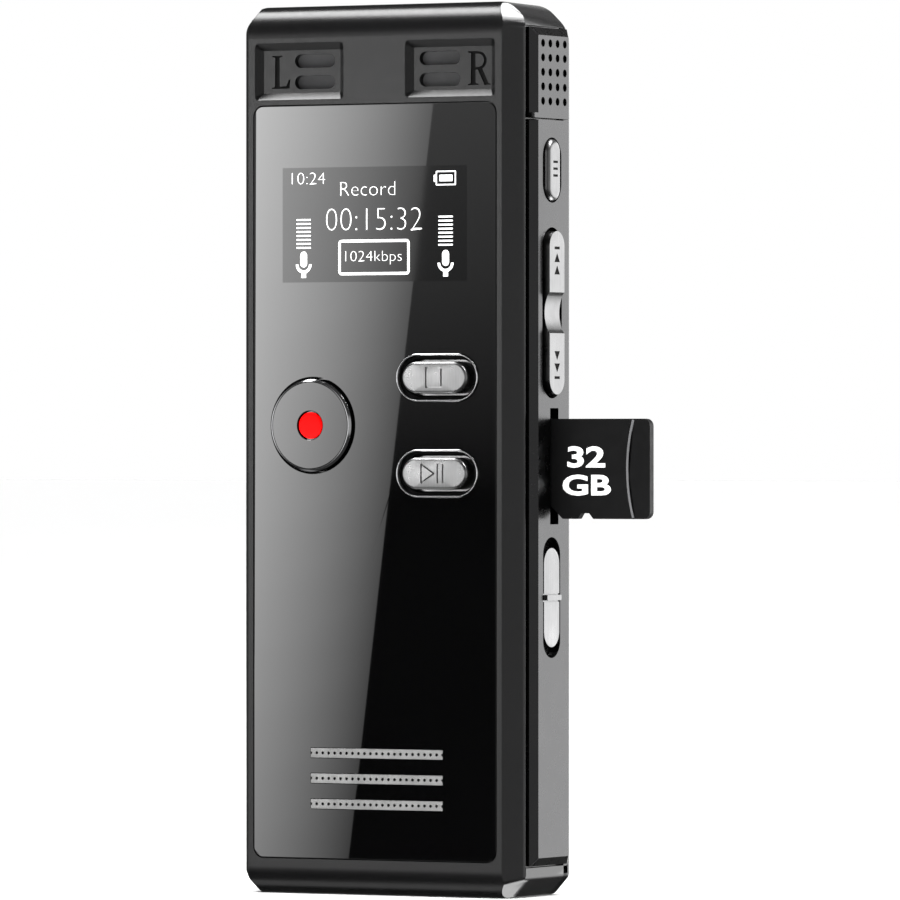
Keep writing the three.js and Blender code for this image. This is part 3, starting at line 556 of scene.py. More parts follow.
def case_ring(d):
    """The case outline at a depth: full behind the chamfer, smaller towards the rolled face."""
    t = min(d / CHAMFER_DEPTH, 1.0)
    half = FACE_HALF_WIDTH + (HALF_WIDTH - FACE_HALF_WIDTH) * t
    lean = max(0.0, 1 - min(d, ROLL_DEPTH) / ROLL_DEPTH)
    roll = math.sqrt(max(0.0, 1 - lean * lean))
    top = HEIGHT - ROLL_TOP * (1 - roll)
    bottom = ROLL_BOTTOM * (1 - roll)
    rear = max(0.0, (d - ROLL_DEPTH) / (DEPTH - ROLL_DEPTH))
    corner_x = CORNER_X - 0.8 * rear
    corner_z = 96.15 - 1.0 * rear
    slope = (HEIGHT - corner_z) / (HALF_WIDTH - corner_x)
    z_cut = min(HEIGHT - (half - corner_x) * slope, top - 0.03)
    x_cut = min(half - (top - z_cut) / slope, half - 0.03)
    low_slope = 2.05 / 1.9
    z_low = max((half - 15.7) * low_slope, bottom + 0.03)
    x_low = min(half - (z_low - bottom) / low_slope, half - 0.03)
    soft = min(2.4 + 1.0 * rear, 1.1 * math.hypot(half - x_cut, top - z_cut))
    low_soft = min(0.9, 0.4 * math.hypot(half - x_low, z_low - bottom))
    right = [(x_low, bottom, low_soft), (half, z_low, low_soft), (half, z_cut, soft), (x_cut, top, soft)]
    left = [(-x, z, radius) for x, z, radius in reversed(right)]
    return filleted(right + left, 7)


def corner_facets():
    """Cutters for the mitred facets where the chamfer turns over the rolled ends, eased into the chamfer."""
    tools = []
    chamfer = Vector((CHAMFER_DEPTH, -(HALF_WIDTH - FACE_HALF_WIDTH), 0)).normalized()
    for normal, point, ease in (
        (Vector((0.651, -0.419, 0.632)), Vector((17.6, 2.3, 95.75)), 2.4),
        (Vector((0.69, -0.327, -0.645)), Vector((17.6, 2.3, 2.2)), 0.9),
    ):
        normal.normalize()
        axis = point - (normal + chamfer) * ease / (1 + normal.dot(chamfer))
        for step in (0.0, 0.22, 0.44, 0.66, 0.88):
            tilted = normal.slerp(chamfer, step)
            touch = axis + tilted * ease
            for side in (1, -1):
                tools.append(slab((touch.x * side, touch.y, touch.z), (tilted.x * side, tilted.y, tilted.z)))
    return tools


def cavity_ring():
    return rounded(-CAVITY, CAVITY, 1.4, HEIGHT - 1.4, 2.0, 8)


def shell_blank():
    """The deep tray: outer skin from the rear edge over the chamfer to the face, then the inside."""
    steps = 14
    depths = [SHELL_DEPTH, 9.0, 6.0, 4.0, RECESS_DEPTH + 0.1]
    depths += [ROLL_DEPTH * (1 - math.cos(math.pi / 2 * (1 - i / steps))) for i in range(steps + 1)]
    rings = [(case_ring(d), d) for d in depths]
    outer = combine(loft("front_shell", rings, face_plane), corner_facets())
    inner = prism("inside", cavity_ring(), face_plane, (1.5, SHELL_DEPTH + 2))
    return combine(outer, [inner])


POCKET_FLOOR = 0.7
POCKET_WALL = 0.78          # how far a pocket's walls lean in


def pocket_ring(side, inset, corner):
    """Outline of a microphone pocket, made smaller all round by inset."""
    x = sorted((side * 3.88, side * 15.12))
    return rounded(x[0] + inset, x[1] - inset, 87.62 + inset, 93.88 - inset, corner, 4)


def pocket_tool(side):
    """Cutter for a microphone pocket: mitred walls, then straight down past its floor plate."""
    base = pocket_ring(side, POCKET_WALL, 0.06)
    rings = [(pocket_ring(side, -0.4, 0.7), -0.36), (base, POCKET_FLOOR), (base, 1.2)]
    return loft("pocket", rings, face_plane)


def pocket_floor(side, name, letters):
    """The floor plate of a pocket, with two sound slots and a sunk letter."""
    outline = pocket_ring(side, POCKET_WALL - 0.02, 0.07)
    plate = prism(name, outline, face_plane, (POCKET_FLOOR, 1.4))
    slots = [pill(side * 7.87, level, 5.1, 1.5) for level in (91.9, 89.55)]
    combine(plate, [prism("slot", slot, face_plane, (0.2, 3)) for slot in slots])
    combine(plate, [letter_prism(letters, 0.3, 1.0)])
    return dress(smooth(plate), PAINT, "case")


def letter_l(x, z, height):
    """A serifed capital L as one outline, its lower left corner at (x, z)."""
    u = height / 7
    return [[
        (x, z), (x + 4.3 * u, z), (x + 4.5 * u, z + 1.9 * u), (x + 4.15 * u, z + 1.9 * u),
        (x + 3.5 * u, z + 0.52 * u), (x + 1.93 * u, z + 0.47 * u), (x + 1.87 * u, z + 6.57 * u),
        (x + 2.54 * u, z + 6.75 * u), (x + 2.63 * u, z + 7 * u), (x, z + 7 * u),
        (x + 0.09 * u, z + 6.75 * u), (x + 0.79 * u, z + 6.62 * u),
        (x + 0.73 * u, z + 0.38 * u), (x + 0.06 * u, z + 0.25 * u),
    ]]


def letter_r(x, z, height):
    """A serifed capital R: stem, bowl and leg as separate outlines that overlap."""
    u = height / 7
    stem = [
        (x, z), (x + 2.57 * u, z), (x + 2.5 * u, z + 0.25 * u), (x + 1.88 * u, z + 0.42 * u),
        (x + 1.83 * u, z + 6.55 * u), (x + 2.66 * u, z + 7.03 * u), (x + 0.03 * u, z + 7.01 * u),
        (x + 0.09 * u, z + 6.75 * u), (x + 0.79 * u, z + 6.62 * u),
        (x + 0.73 * u, z + 0.38 * u), (x + 0.06 * u, z + 0.25 * u),
    ]
    outer = arc(x + 2.6 * u, z + 5.08 * u, 1.88 * u, -90, 90, 14)
    inner = arc(x + 2.45 * u, z + 5.1 * u, 1.38 * u, 90, -90, 14)
    bowl = [(x + 1.3 * u, z + 3.17 * u)] + outer
    bowl += [(x + 1.25 * u, z + 6.93 * u), (x + 1.28 * u, z + 6.45 * u)]
    bowl += inner + [(x + 1.33 * u, z + 3.74 * u)]
    leg = [
        (x + 2.2 * u, z + 3.5 * u), (x + 3.4 * u, z + 3.5 * u), (x + 4.9 * u, z + 0.35 * u),
        (x + 5.4 * u, z + 0.2 * u), (x + 5.4 * u, z), (x + 3.95 * u, z),
    ]
    return [stem, bowl, leg]


def front_shell():
    shell = shell_blank()
    edge = WINDOW_HIGH.x + 0.13
    tools = [
        prism("seat", rounded(-edge, edge, WINDOW_LOW.z - 0.13, WINDOW_HIGH.z + 0.13, 1.25),
              face_plane, (-1, 0.9)),
        pocket_tool(-1),
        pocket_tool(1),
        prism("record_hole", circle(*RECORD_AT, 5.37, 64), face_plane, (-1, 3)),
        prism("stop_hole", pill(KEY_X, STOP_Z, 10.4, 5.4), face_plane, (-1, 3)),
        prism("play_hole", pill(KEY_X, PLAY_Z, 10.4, 5.4), face_plane, (-1, 3)),
        prism("sound_hole", rounded(-7.9, 8.5, 9.2, 16.4, 0.3), face_plane, (-1, 3)),
        prism("card_hole", rounded(6.77, 8.47, 40.85, 53.55, 0.1, 2), side_plane, (15, 18)),
        prism("rocker_hole", rounded(5.35, 9.15, 55.4, 72.6, 0.1, 2), side_plane, (15, 18)),
        prism("menu_hole", rounded(6.45, 8.05, 78.74, 80.54, 0.1, 2), side_plane, (15, 18)),
        prism("slide_hole", rounded(6.2, 8.3, 30.2, 35.4, 0.1, 2), side_plane, (15, 18)),
        prism("side_sound_hole", circle(RAIL_MID, 89.5, 1.7, 24), side_plane, (15, 18)),
        prism("usb_hole", pill(-7.4, 7.1, 9.3, 3.6), floor_plane, (-1, 3)),
        prism("phone_hole", circle(-JACK_X, JACK_DEPTH, 1.9, 40), floor_plane, (95, 99)),
        prism("mic_hole", circle(JACK_X, JACK_DEPTH, 1.9, 40), floor_plane, (95, 99)),
    ]
    recess = rounded(RECESS_DEPTH, SHELL_DEPTH - 0.1, 3.3, 95.4, 0.3)
    for x in ((RAIL_FLOOR, 19), (-19, -RAIL_FLOOR)):
        tools.append(prism("recess", recess, side_plane, x))
    for side in (-1, 1):
        for level in (91.9, 89.55):
            tools.append(prism("slot", pill(side * 7.87, level, 5.1, 1.5), face_plane, (0.2, 3)))
    combine(shell, tools)
    soften(shell, 0.045, 2, 36, clamp=False)
    left, right = letter_l(-13.35, 88.9, 3.65), letter_r(11.35, 88.85, 3.7)
    pocket_floor(-1, "left_pocket_floor", left)
    pocket_floor(1, "right_pocket_floor", right)
    # The near-black fill in the letters is painted shade for the engraving's shadow.
    letter_shade = letter_prism(left + right, 0.9, 1.02)
    dress(smooth(letter_shade), LETTER_SHADE, "case")
    return dress(smooth(shell), PAINT, "case", ["front_shell"])


def mic_cloths():
    """Dust cloths just behind the microphone slots."""
    for side, name in ((-1, "left"), (1, "right")):
        x = sorted((side * 5.0, side * 10.9))
        cloth = prism(f"{name}_mic_cloth", rounded(*x, 88.5, 92.95, 0.4, 4), face_plane, (1.46, 1.58))
        dress(smooth(cloth), CLOTH, "case")


def rear_cover():
    """Rear plate with a rounded rim and screw seats."""
    start = COVER_LOW.y - FRONT
    rim = 0.85
    rings = [(case_ring(DEPTH), start)]
    steps = 8
    base = case_ring(DEPTH)
    for i in range(steps + 1):
        angle = math.pi / 2 * i / steps
        inset = rim * (1 - math.cos(angle))
        level = DEPTH - rim + rim * math.sin(angle)
        rings.append((inset_ring(base, inset), level))
    cover = loft("rear_cover", rings, face_plane)
    tools = []
    for x, z in SCREW_PLACES:
        tools.append(prism("seat", circle(x, z, 1.6, 40), face_plane, (DEPTH - 0.5, DEPTH + 1)))
        tools.append(prism("bore", circle(x, z, 0.85, 24), face_plane, (11, DEPTH + 1)))
    combine(cover, tools)
    soften(cover, 0.06, 2, 35)
    return dress(smooth(cover), PAINT, "case", ["rear_cover"])


def inset_ring(points, amount):
    """A convex ring moved inward by an amount."""
    count = len(points)
    moved = []
    for i, (x, z) in enumerate(points):
        ax, az = points[i - 1]
        bx, bz = points[(i + 1) % count]
        tangent = Vector((bx - ax, bz - az)).normalized()
        moved.append((x - tangent.y * amount, z + tangent.x * amount))
    return moved


def cross_screw(name, x, z, head, seat, length):
    """A pan-head screw with a cross recess, its head towards the back."""
    crown = [(0, seat + 0.42), (head * 0.6, seat + 0.40), (head * 0.92, seat + 0.3)]
    crown += [(head, seat + 0.15), (head, seat)]
    outline = crown + [(0.55, seat), (0.55, seat - length + 0.3), (0.3, seat - length), (0, seat - length)]
    screw = lathe_y(name, x, z, outline, 40)
    arms = []
    for turn in (0, 90):
        angle = math.radians(turn + 25)
        dx, dz = math.cos(angle) * head * 0.62, math.sin(angle) * head * 0.62
        slot = stroke(x - dx, z - dz, x + dx, z + dz, 0.34)
        arms.append(prism("arm", slot, face_plane, (seat + 0.12, seat + 1)))
    combine(screw, arms)
    return dress(smooth(screw), STEEL, "case", [name])


# ---------------------------------------------------------------- rails


def rail_blank(name, low, high, bevel_low, bevel_high, side=1):
    """A strip with mitred bevels, from its back to its proud face."""
    back, shoulder, face = 17.25, HALF_WIDTH, RAIL_HIGH.x

    def ring(front, rear, bottom, top, x):
        points = rounded(front, rear, bottom, top, 0.12, 3)
        return (points, side * x)

    rings = [
        ring(3.25, 12.05, low, high, back),
        ring(3.25, 12.05, low, high, shoulder),
        ring(4.1, 11.1, low + bevel_low, high - bevel_high, face),
    ]
    return loft(name, rings, side_plane)


def right_rail():
    low, high = RAIL_LOW.z, RAIL_HIGH.z
    rail = rail_blank("right_rail", low, high, 0.9, 0.02)
    span = (16, 20)
    tools = [
        prism("menu", pill(KEY_MID, MENU_Z, 4.3, 7.15), side_plane, span),
        prism("rocker", pill(KEY_MID, ROCKER_Z, 4.5, 18.75), side_plane, span),
        prism("slide", pill(KNOB_MID, KNOB_Z, 3.95, 13.24), side_plane, span),
        prism("card", rounded(6.8, 8.72, 40.82, 53.56, 0.08, 2), side_plane, span),
    ]
    combine(rail, tools)
    soften(rail, 0.09, 3, 25)
    return dress(smooth(rail), RAIL, "case", ["right_rail"])


def left_rail():
    rail = rail_blank("left_rail", LEFT_LOW.z, LEFT_HIGH.z, 0.9, 0.9, side=-1)
    soften(rail, 0.09, 3, 25)
    return dress(smooth(rail), RAIL, "case", ["left_rail"])


def mic_grille():
    """Top part of the rail: a cross rib below, a perforated face above."""
    grille = rail_blank("mic_grille", RIB_TOP - 0.3, GRILLE_HIGH.z, 0.02, 0.9)
    face = RAIL_HIGH.x
    section = [(17.27, 3.26), (face, 3.26), (face, 11.1), (HALF_WIDTH, 12.03), (17.27, 12.03)]
    rib = prism("rib", section, floor_plane, (GRILLE_LOW.z, RIB_TOP))
    combine(grille, [rib], "UNION")
    soften(grille, 0.06, 2, 25)
    holes = []
    for row in range(5):
        for column in range(4):
            outline = circle(5.17 + 1.677 * column, 87.16 + 1.585 * row, 0.438, 26)
            holes.append(prism("hole", outline, side_plane, (16, 20)))
    combine(grille, holes)
    # Near-black sheet behind the holes: painted shade, so that the holes read dark.
    grille_hole_shade = prism("mic_hole_shade", rounded(3.4, 11.8, 86, 95.0, 0.1, 2), side_plane, (17.13, 17.2))
    dress(smooth(grille_hole_shade), PAINTED_HOLLOW_SHADE, "case")
    return dress(smooth(grille), RAIL, "case", ["mic_grille"])


# ---------------------------------------------------------------- window and display


def window_panel():
    low, high = WINDOW_LOW, WINDOW_HIGH
    levels = (0.0, 0.75)
    panel = prism("window_panel", rounded(low.x, high.x, low.z, high.z, 1.15, 10), face_plane, levels)
    tools = [
        prism("record", circle(*RECORD_AT, 5.37, 96), face_plane, (-1, 2)),
        prism("stop", pill(KEY_X, STOP_Z, 10.33, 5.35, steps=20), face_plane, (-1, 2)),
        prism("play", pill(KEY_X, PLAY_Z, 10.33, 5.35, steps=20), face_plane, (-1, 2)),
    ]
    for index in (1, 2, 3):
        a, b = box_mm(f"speaker_grille_{index}")
        tools.append(prism("strip", rounded(a.x - 0.06, b.x + 0.06, a.z - 0.06, b.z + 0.06, 0.1, 3),
                           face_plane, (-1, 2)))
    combine(panel, tools)
    soften(panel, 0.05, 2, 35)
    return dress(smooth(panel), WINDOW, "case", ["window_panel"])


DISPLAY = (-11.58, 11.62, 67.45, 80.1)
GLYPH_LEVEL = -0.012


def display_screen():
    """The lit module's dark face, read through the window."""
    x0, x1, z0, z1 = DISPLAY
    screen = prism("display_face", rounded(x0, x1, z0, z1, 0.08, 3), face_plane, (-0.006, 0.3))
    return dress(screen, SCREEN, "case")


def lettering(text, height, bold=0.0):
    """Built-in sans lettering as a flat mesh, its lower left corner at the origin."""
    curve = bpy.data.curves.new("letters", "FONT")
    curve.body = text
    curve.size = 1.0
    curve.offset = bold
    curve.resolution_u = 4
    holder = add_object("letters", curve)
    graph = bpy.context.evaluated_depsgraph_get()
    mesh = bpy.data.meshes.new_from_object(holder.evaluated_get(graph))
    bpy.data.objects.remove(holder)
    low = Vector((min(v.co.x for v in mesh.vertices), min(v.co.y for v in mesh.vertices), 0))
    high = Vector((max(v.co.x for v in mesh.vertices), max(v.co.y for v in mesh.vertices), 0))
    scale = height / (high.y - low.y)
    flat = [((v.co.x - low.x) * scale, (v.co.y - low.y) * scale) for v in mesh.vertices]
    faces = [tuple(p.vertices) for p in mesh.polygons]
    bpy.data.meshes.remove(mesh)
    return flat, faces, (high.x - low.x) * scale


def text_into(bm, text, x, z, height, level, width_to=None, bold=0.0):
    """Adds lettering with its lower left corner at (x, z), stretched to a width where one is given."""
    flat, faces, width = lettering(text, height, bold)
    stretch = width_to / width if width_to else 1.0
    verts = [bm.verts.new(face_plane(x + a * stretch, z + b, level)) for a, b in flat]
    for face in faces:
        bm.faces.new([verts[i] for i in face])


def shape_into(bm, points, level):
    bm.faces.new([bm.verts.new(face_plane(a, b, level)) for a, b in points])


def frame_into(bm, x0, x1, z0, z1, radius, line, level):
    """A rounded box drawn as a line."""
    outer = [bm.verts.new(face_plane(a, b, level)) for a, b in rounded(x0, x1, z0, z1, radius, 6)]
    inner_points = rounded(x0 + line, x1 - line, z0 + line, z1 - line, max(radius - line, 0.05), 6)
    inner = [bm.verts.new(face_plane(a, b, level)) for a, b in inner_points]
    count = len(outer)
    for i in range(count):
        j = (i + 1) % count
        bm.faces.new((outer[i], outer[j], inner[j], inner[i]))


def microphone_sign(bm, cx, low, level):
    """A microphone: a fat capsule in a cradle on a short stem."""
    shape_into(bm, pill(cx, low + 2.03, 0.86, 1.74, steps=8), level)
    middle = low + 1.5
    outer = arc(cx, middle, 1.0, 180, 360, 18)
    inner = arc(cx, middle, 0.68, 360, 180, 18)
    shape_into(bm, outer + inner, level)
    shape_into(bm, stroke(cx, low, cx, low + 0.6, 0.6), level)


def flat_marks(name, draw, material, body, thickness=0.012):
    """Print or lit marks: flat shapes given a small thickness so that they are real solids."""
    bm = bmesh.new()
    draw(bm)
    piece = mesh_object(name, bm)
    modifier = piece.modifiers.new("thickness", "SOLIDIFY")
    modifier.thickness = thickness
    modifier.offset = 0
    settle(piece)
    return dress(piece, material, body)


def draw_display(bm):
    """Generic read-outs: a clock, a state word, a running time, a rate, level bars and signs."""
    level = GLYPH_LEVEL
    text_into(bm, "10:24", -10.4, 78.25, 1.3, level, 4.2, bold=-0.026)
    text_into(bm, "Record", -4.25, 76.95, 1.5, level, 6.9, bold=-0.026)
    text_into(bm, "00:15:32", -6.05, 73.05, 2.5, level, 12.05, bold=-0.03)
    frame_into(bm, -4.5, 4.48, 68.2, 72.1, 0.42, 0.3, level)
    text_into(bm, "1024kbps", -3.62, 69.35, 1.5, level, 7.1, bold=-0.026)
    frame_into(bm, 7.76, 10.27, 77.93, 79.52, 0.1, 0.14, level)
    shape_into(bm, rounded(8.2, 9.83, 78.37, 79.08, 0.05, 2), level)
    shape_into(bm, rounded(7.5, 7.78, 78.3, 79.1, 0.08, 2), level)
    for cx, top in ((-8.9, 74.35), (8.98, 74.5)):
        for i in range(8):
            z = top - 0.44 * i
            shape_into(bm, rounded(cx - 0.9, cx + 0.9, z - 0.088, z + 0.088, 0.03, 2), level)
        microphone_sign(bm, cx, 67.95, level)


# ---------------------------------------------------------------- front keys


def record_button():
    low = box_mm("record_button")[0]
    x, z = RECORD_AT
    top = low.y - FRONT
    r = 5.1
    profile = [(0, top + 0.34), (1.58, top + 0.34), (1.6, top + 0.04), (1.66, top), (4.7, top)]
    profile += [(4.78, top), (4.84, top + 0.02), (5.06, top + 0.24), (r, top + 0.34)]
    profile += [(r, 1.6), (6.2, 1.65), (6.2, 2.15), (1.3, 2.15), (1.3, 2.95), (0.8, 2.97), (0.8, 3.6), (0, 3.65)]
    cap = lathe_y("record_button", x, z, profile, 128)
    dress(smooth(cap, 20), CAP, "record_key", ["record_button"])
    edge = [(4.8, top + 0.006), (4.88, top - 0.008), (5.08, top + 0.2), (r + 0.012, top + 0.3),
            (r + 0.012, top + 0.5), (5.0, top + 0.5), (4.8, top + 0.2)]
    rings = [(circle(x, z, radius, 128), level)
             for radius, level in edge]
    rim = loft("record_rim", rings, face_plane, closed=True)
    dress(smooth(rim, 30), CHROME, "record_key")
    dome = [(0, top - 0.05), (0.7, top - 0.04), (1.2, top - 0.005), (1.4, top + 0.05), (1.47, top + 0.14),
            (1.47, top + 0.32), (0, top + 0.32)]
    mark = lathe_y("record_mark", x, z, dome, 64)
    dress(smooth(mark, 50), RED, "record_key", ["record_mark"])


def stop_icon(cx, cz):
    """A square drawn as a line."""
    w, h, line = 1.9, 2.1, 0.2
    x0, x1, z0, z1 = cx - w / 2, cx + w / 2, cz - h / 2, cz + h / 2
    return [
        stroke(x0, z0, x1, z0, line), stroke(x0, z1, x1, z1, line),
        stroke(x0, z0 - line / 2, x0, z1 + line / 2, line),
        stroke(x1, z0 - line / 2, x1, z1 + line / 2, line),
    ]


def play_icon(cx, cz):
    """A triangle drawn as a line, then two bars."""
    h, line = 2.1, 0.2
    x0, x1 = cx - 1.55, cx + 0.1
    return [
        stroke(x0, cz - h / 2, x0, cz + h / 2, line),
        stroke(x0, cz - h / 2, x1, cz, line), stroke(x0, cz + h / 2, x1, cz, line),
        stroke(cx + 0.5, cz - h / 2, cx + 0.5, cz + h / 2, line),
        stroke(cx + 1.15, cz - h / 2, cx + 1.15, cz + h / 2, line),
    ]


def pill_key(name, cz, icon, body):
    """A silver pillow cap in a thin bezel, with its sign cut into the crown."""
    cx = KEY_X
    length, width, proud = 8.1, 3.5, 1.0
    round_off = 0.32

    def crown(points):
        """Points of a level ring, set on the gently domed crown."""
        ring = []
        for x, z in points:
            along, across = (x - cx) / (length / 2), (z - cz) / (width / 2)
            ring.append((x, z, 0.14 * along ** 2 + 0.04 * across ** 2 - proud))
        return ring

    rings = [[face_plane(x, z, 1.6) for x, z in pill(cx, cz, length, width)]]
    for i in range(9):
        angle = math.pi / 2 * i / 8
        outline = crown(pill(cx, cz, length, width, round_off * (1 - math.cos(angle))))
        drop = round_off * (1 - math.sin(angle))
        rings.append([face_plane(x, z, level + drop) for x, z, level in outline])
    for scale in (0.85, 0.7, 0.55, 0.4, 0.25, 0.1):
        crest = pill(cx, cz, length, width, round_off)
        shrunk = [(cx + (x - cx) * scale, cz + (z - cz) * scale) for x, z in crest]
        rings.append([face_plane(*point) for point in crown(shrunk)])
    cap = loft(name, rings)
    collar = prism("collar", pill(cx, cz, 10.85, 5.87), face_plane, (1.5 + 0.15, 2.15))
    stem = prism("stem", circle(cx, cz, 1.3, 24), face_plane, (2.1, 2.95))
    foot = prism("foot", circle(cx, cz, 0.8, 20), face_plane, (2.9, 3.65))
    joiner = prism("core", pill(cx, cz, 7.6, 3.0), face_plane, (1.0, 1.9))
    combine(cap, [collar, stem, foot, joiner], "UNION")
    depth_cut = -proud + 0.3
    combine(cap, [prism("icon", points, face_plane, (-2, depth_cut)) for points in icon(cx, cz)])
    dress(smooth(cap, 35), CROWN, body, [name])


def bezel(name, cz):
    """A thin ring with a rounded lip."""
    cx = KEY_X
    length, width, wall, proud, inside = 10.25, 5.27, 0.24, 0.25, 1.3
    rings = [(pill(cx, cz, length, width, steps=20), inside)]
    for i in range(7):
        angle = math.pi * i / 6
        inset = wall / 2 * (1 - math.cos(angle))
        rings.append((pill(cx, cz, length, width, inset, steps=20), -proud + 0.12 - 0.12 * math.sin(angle)))
    rings.append((pill(cx, cz, length, width, wall, steps=20), inside))
    ring = loft(name, rings, face_plane, closed=True)
    dress(smooth(ring, 60), CHROME, "case", [name])


def key_well(name, cz):
    """Near-black sleeve and floor inside a bezel: painted shade for the dark moat round the key."""
    cx = KEY_X
    outer, inner = (9.74, 4.76), (9.3, 4.32)
    rings = [
        (pill(cx, cz, *outer, steps=20), 1.28), (pill(cx, cz, *outer, steps=20), 0.5),
        (pill(cx, cz, *inner, steps=20), 0.55), (pill(cx, cz, *inner, steps=20), 1.28),
    ]
    moat_shade = loft(name, rings, face_plane, closed=True)
    dress(smooth(moat_shade), PAINTED_HOLLOW_SHADE, "case")
    moat_floor_shade = prism(name + "_floor", pill(cx, cz, 9.66, 4.68, steps=20), face_plane, (1.3, 1.42))
    combine(moat_floor_shade, [prism("way", pill(cx, cz, 8.6, 3.9, steps=20), face_plane, (1, 2))])
    dress(smooth(moat_floor_shade), PAINTED_HOLLOW_SHADE, "case")


def speaker_strip(index):
    name = f"speaker_grille_{index}"
    low, high = box_mm(name)
    middle = (low.z + high.z) / 2
    centre = (low.x + high.x) / 2
    bar = prism(name, rounded(low.x, high.x, low.z, high.z, 0.06, 2), face_plane, (-0.05, 0.5))
    soften(bar, 0.04, 2, 35)
    pitch, count = 0.755, 21
    tools = []
    for i in range(-1, count + 1):
        x = centre + (i - (count - 1) / 2) * pitch
        tools.append(prism("hole", circle(x, middle, 0.17, 14), face_plane, (-1, 2)))
    combine(bar, tools)
    dress(smooth(bar, 30), STRIP, "case", [name])


def speaker_hole_shade():
    """Near-black sheet behind the strips: painted shade, so that the holes read black."""
    speaker_shade_sheet = prism("speaker_hole_shade", rounded(-7.8, 8.4, 9.3, 16.3, 0.3, 3), face_plane, (0.92, 1.05))
    dress(speaker_shade_sheet, PAINTED_HOLLOW_SHADE, "case")


# ---------------------------------------------------------------- side keys


def side_strokes(lines, x_levels, width=0.15):
    """Cutters for signs on the side: each line is (depth0, z0, depth1, z1)."""
    return [prism("sign", stroke(*line, width), side_plane, x_levels) for line in lines]


def menu_button():
    face = RAIL_HIGH.x + 0.42
    width, length = 2.95, 6.9
    z = MENU_Z
    rings = [(pill(KEY_MID, z, width, length), 17.55)]
    for i in range(9):
        angle = math.pi / 2 * i / 8
        rings.append((pill(KEY_MID, z, width, length, 0.62 * (1 - math.cos(angle))),
                      face - 0.62 + 0.62 * math.sin(angle)))
    cap = loft("menu_button", rings, side_plane)
    stem = prism("stem", rounded(6.6, 7.9, z - 0.7, z + 0.7, 0.1, 2), side_plane, (15.9, 17.7))
    collar = prism("collar", rounded(6.1, 8.4, z - 1.5, z + 1.5, 0.2, 3), side_plane, (15.5, 16.05))
    tip = prism("tip", circle(KEY_MID, z, 0.5, 16), side_plane, (14.75, 15.6))
    combine(cap, [stem, collar, tip], "UNION")
    heights = [z + 0.15 + offset for offset in (-0.75, 0.0, 0.75)]
    lines = [(KEY_MID - 0.5, height, KEY_MID + 0.55, height) for height in heights]
    combine(cap, side_strokes(lines, (face - 0.12, face + 1), 0.26))
    dress(smooth(cap, 35), SILVER, "menu_key", ["menu_button"])
    fills = side_strokes(lines, (face - 0.12, face - 0.05), 0.26)
    sign = combine(fills[0], fills[1:], "UNION")
    sign.name = "menu_sign"
    dress(smooth(sign), SIGN, "menu_key")


def rocker():
    """Two proud silver ends and a concave dip, swept across the key's width."""
    z0 = ROCKER_Z
    half, width = 8.95, 3.4
    top = RAIL_HIGH.x + 0.63
    dip = RAIL_HIGH.x - 0.02

    def height(z):
        t = abs(z - z0)
        if t < 2.0:
            return dip + (top - 0.22 - dip) * (t / 2.0) ** 2
        if t < 2.25:
            return top - 0.22 + 0.22 * (t - 2.0) / 0.25
        return top

    profile = [(z0 - half, 17.6)]
    steps = 120
    for i in range(steps + 1):
        z = z0 - half + 2 * half * i / steps
        profile.append((z, height(z)))
    profile.append((z0 + half, 17.6))
    bm = bmesh.new()
    sides = [depth(KEY_MID + side * width / 2) for side in (-1, 1)]
    skin_into(bm, [[(x, y, z) for z, x in profile] for y in sides])
    bar = new_piece("rocker", bm)
    outline = pill(KEY_MID, z0, width, 2 * half, steps=16)
    combine(bar, [prism("round", outline, side_plane, (15, 20))], "INTERSECT")
    soften(bar, 0.16, 3, 30)
    extra = [
        prism("lug", circle(16.9, z0, 1.15, 24), face_plane, (6.25, 8.25)),
        prism("web", rounded(16.9, 17.8, z0 - 1, z0 + 1, 0.1, 2), face_plane, (6.25, 8.25)),
    ]
    for side in (-1, 1):
        z = z0 + side * 6
        extra.append(prism("arm", rounded(6.6, 7.9, z - 0.7, z + 0.7, 0.1, 2), side_plane, (15.5, 17.8)))
        extra.append(prism("tip", circle(KEY_MID, z, 0.45, 16), side_plane, (14.75, 15.6)))
    combine(bar, extra, "UNION")
    tools = [prism("bore", circle(16.9, z0, 0.55, 24), face_plane, (5, 10))]
    for sign in (-1, 1):
        tools += skip_sign(z0 + sign * 5.75, sign, top)
    combine(bar, tools)
    dress(smooth(bar, 35), SILVER, "rocker_key", ["rocker"])
    fills = []
    for sign in (-1, 1):
        fills += skip_sign(z0 + sign * 5.75, sign, top, (top - 0.12, top - 0.05))
    signs = combine(fills[0], fills[1:], "UNION")
    signs.name = "rocker_signs"
    dress(smooth(signs), SIGN, "rocker_key")


def skip_sign(z, direction, face, levels=None):
    """Two triangles and a bar, sunk into the key, pointing away from its middle."""
    levels = levels or (face - 0.12, face + 1)
    tools = []
    for start in (-1.55, -0.2):
        base = z + direction * start
        tip = base + direction * 1.0
        triangle = [(KEY_MID - 0.62, base), (KEY_MID + 0.62, base), (KEY_MID, tip)]
        if direction < 0:
            triangle.reverse()
        tools.append(prism("sign", triangle, side_plane, levels))
    end = z + direction * 1.35
    tools += side_strokes([(KEY_MID - 0.6, end, KEY_MID + 0.6, end)], levels, 0.3)
    return tools


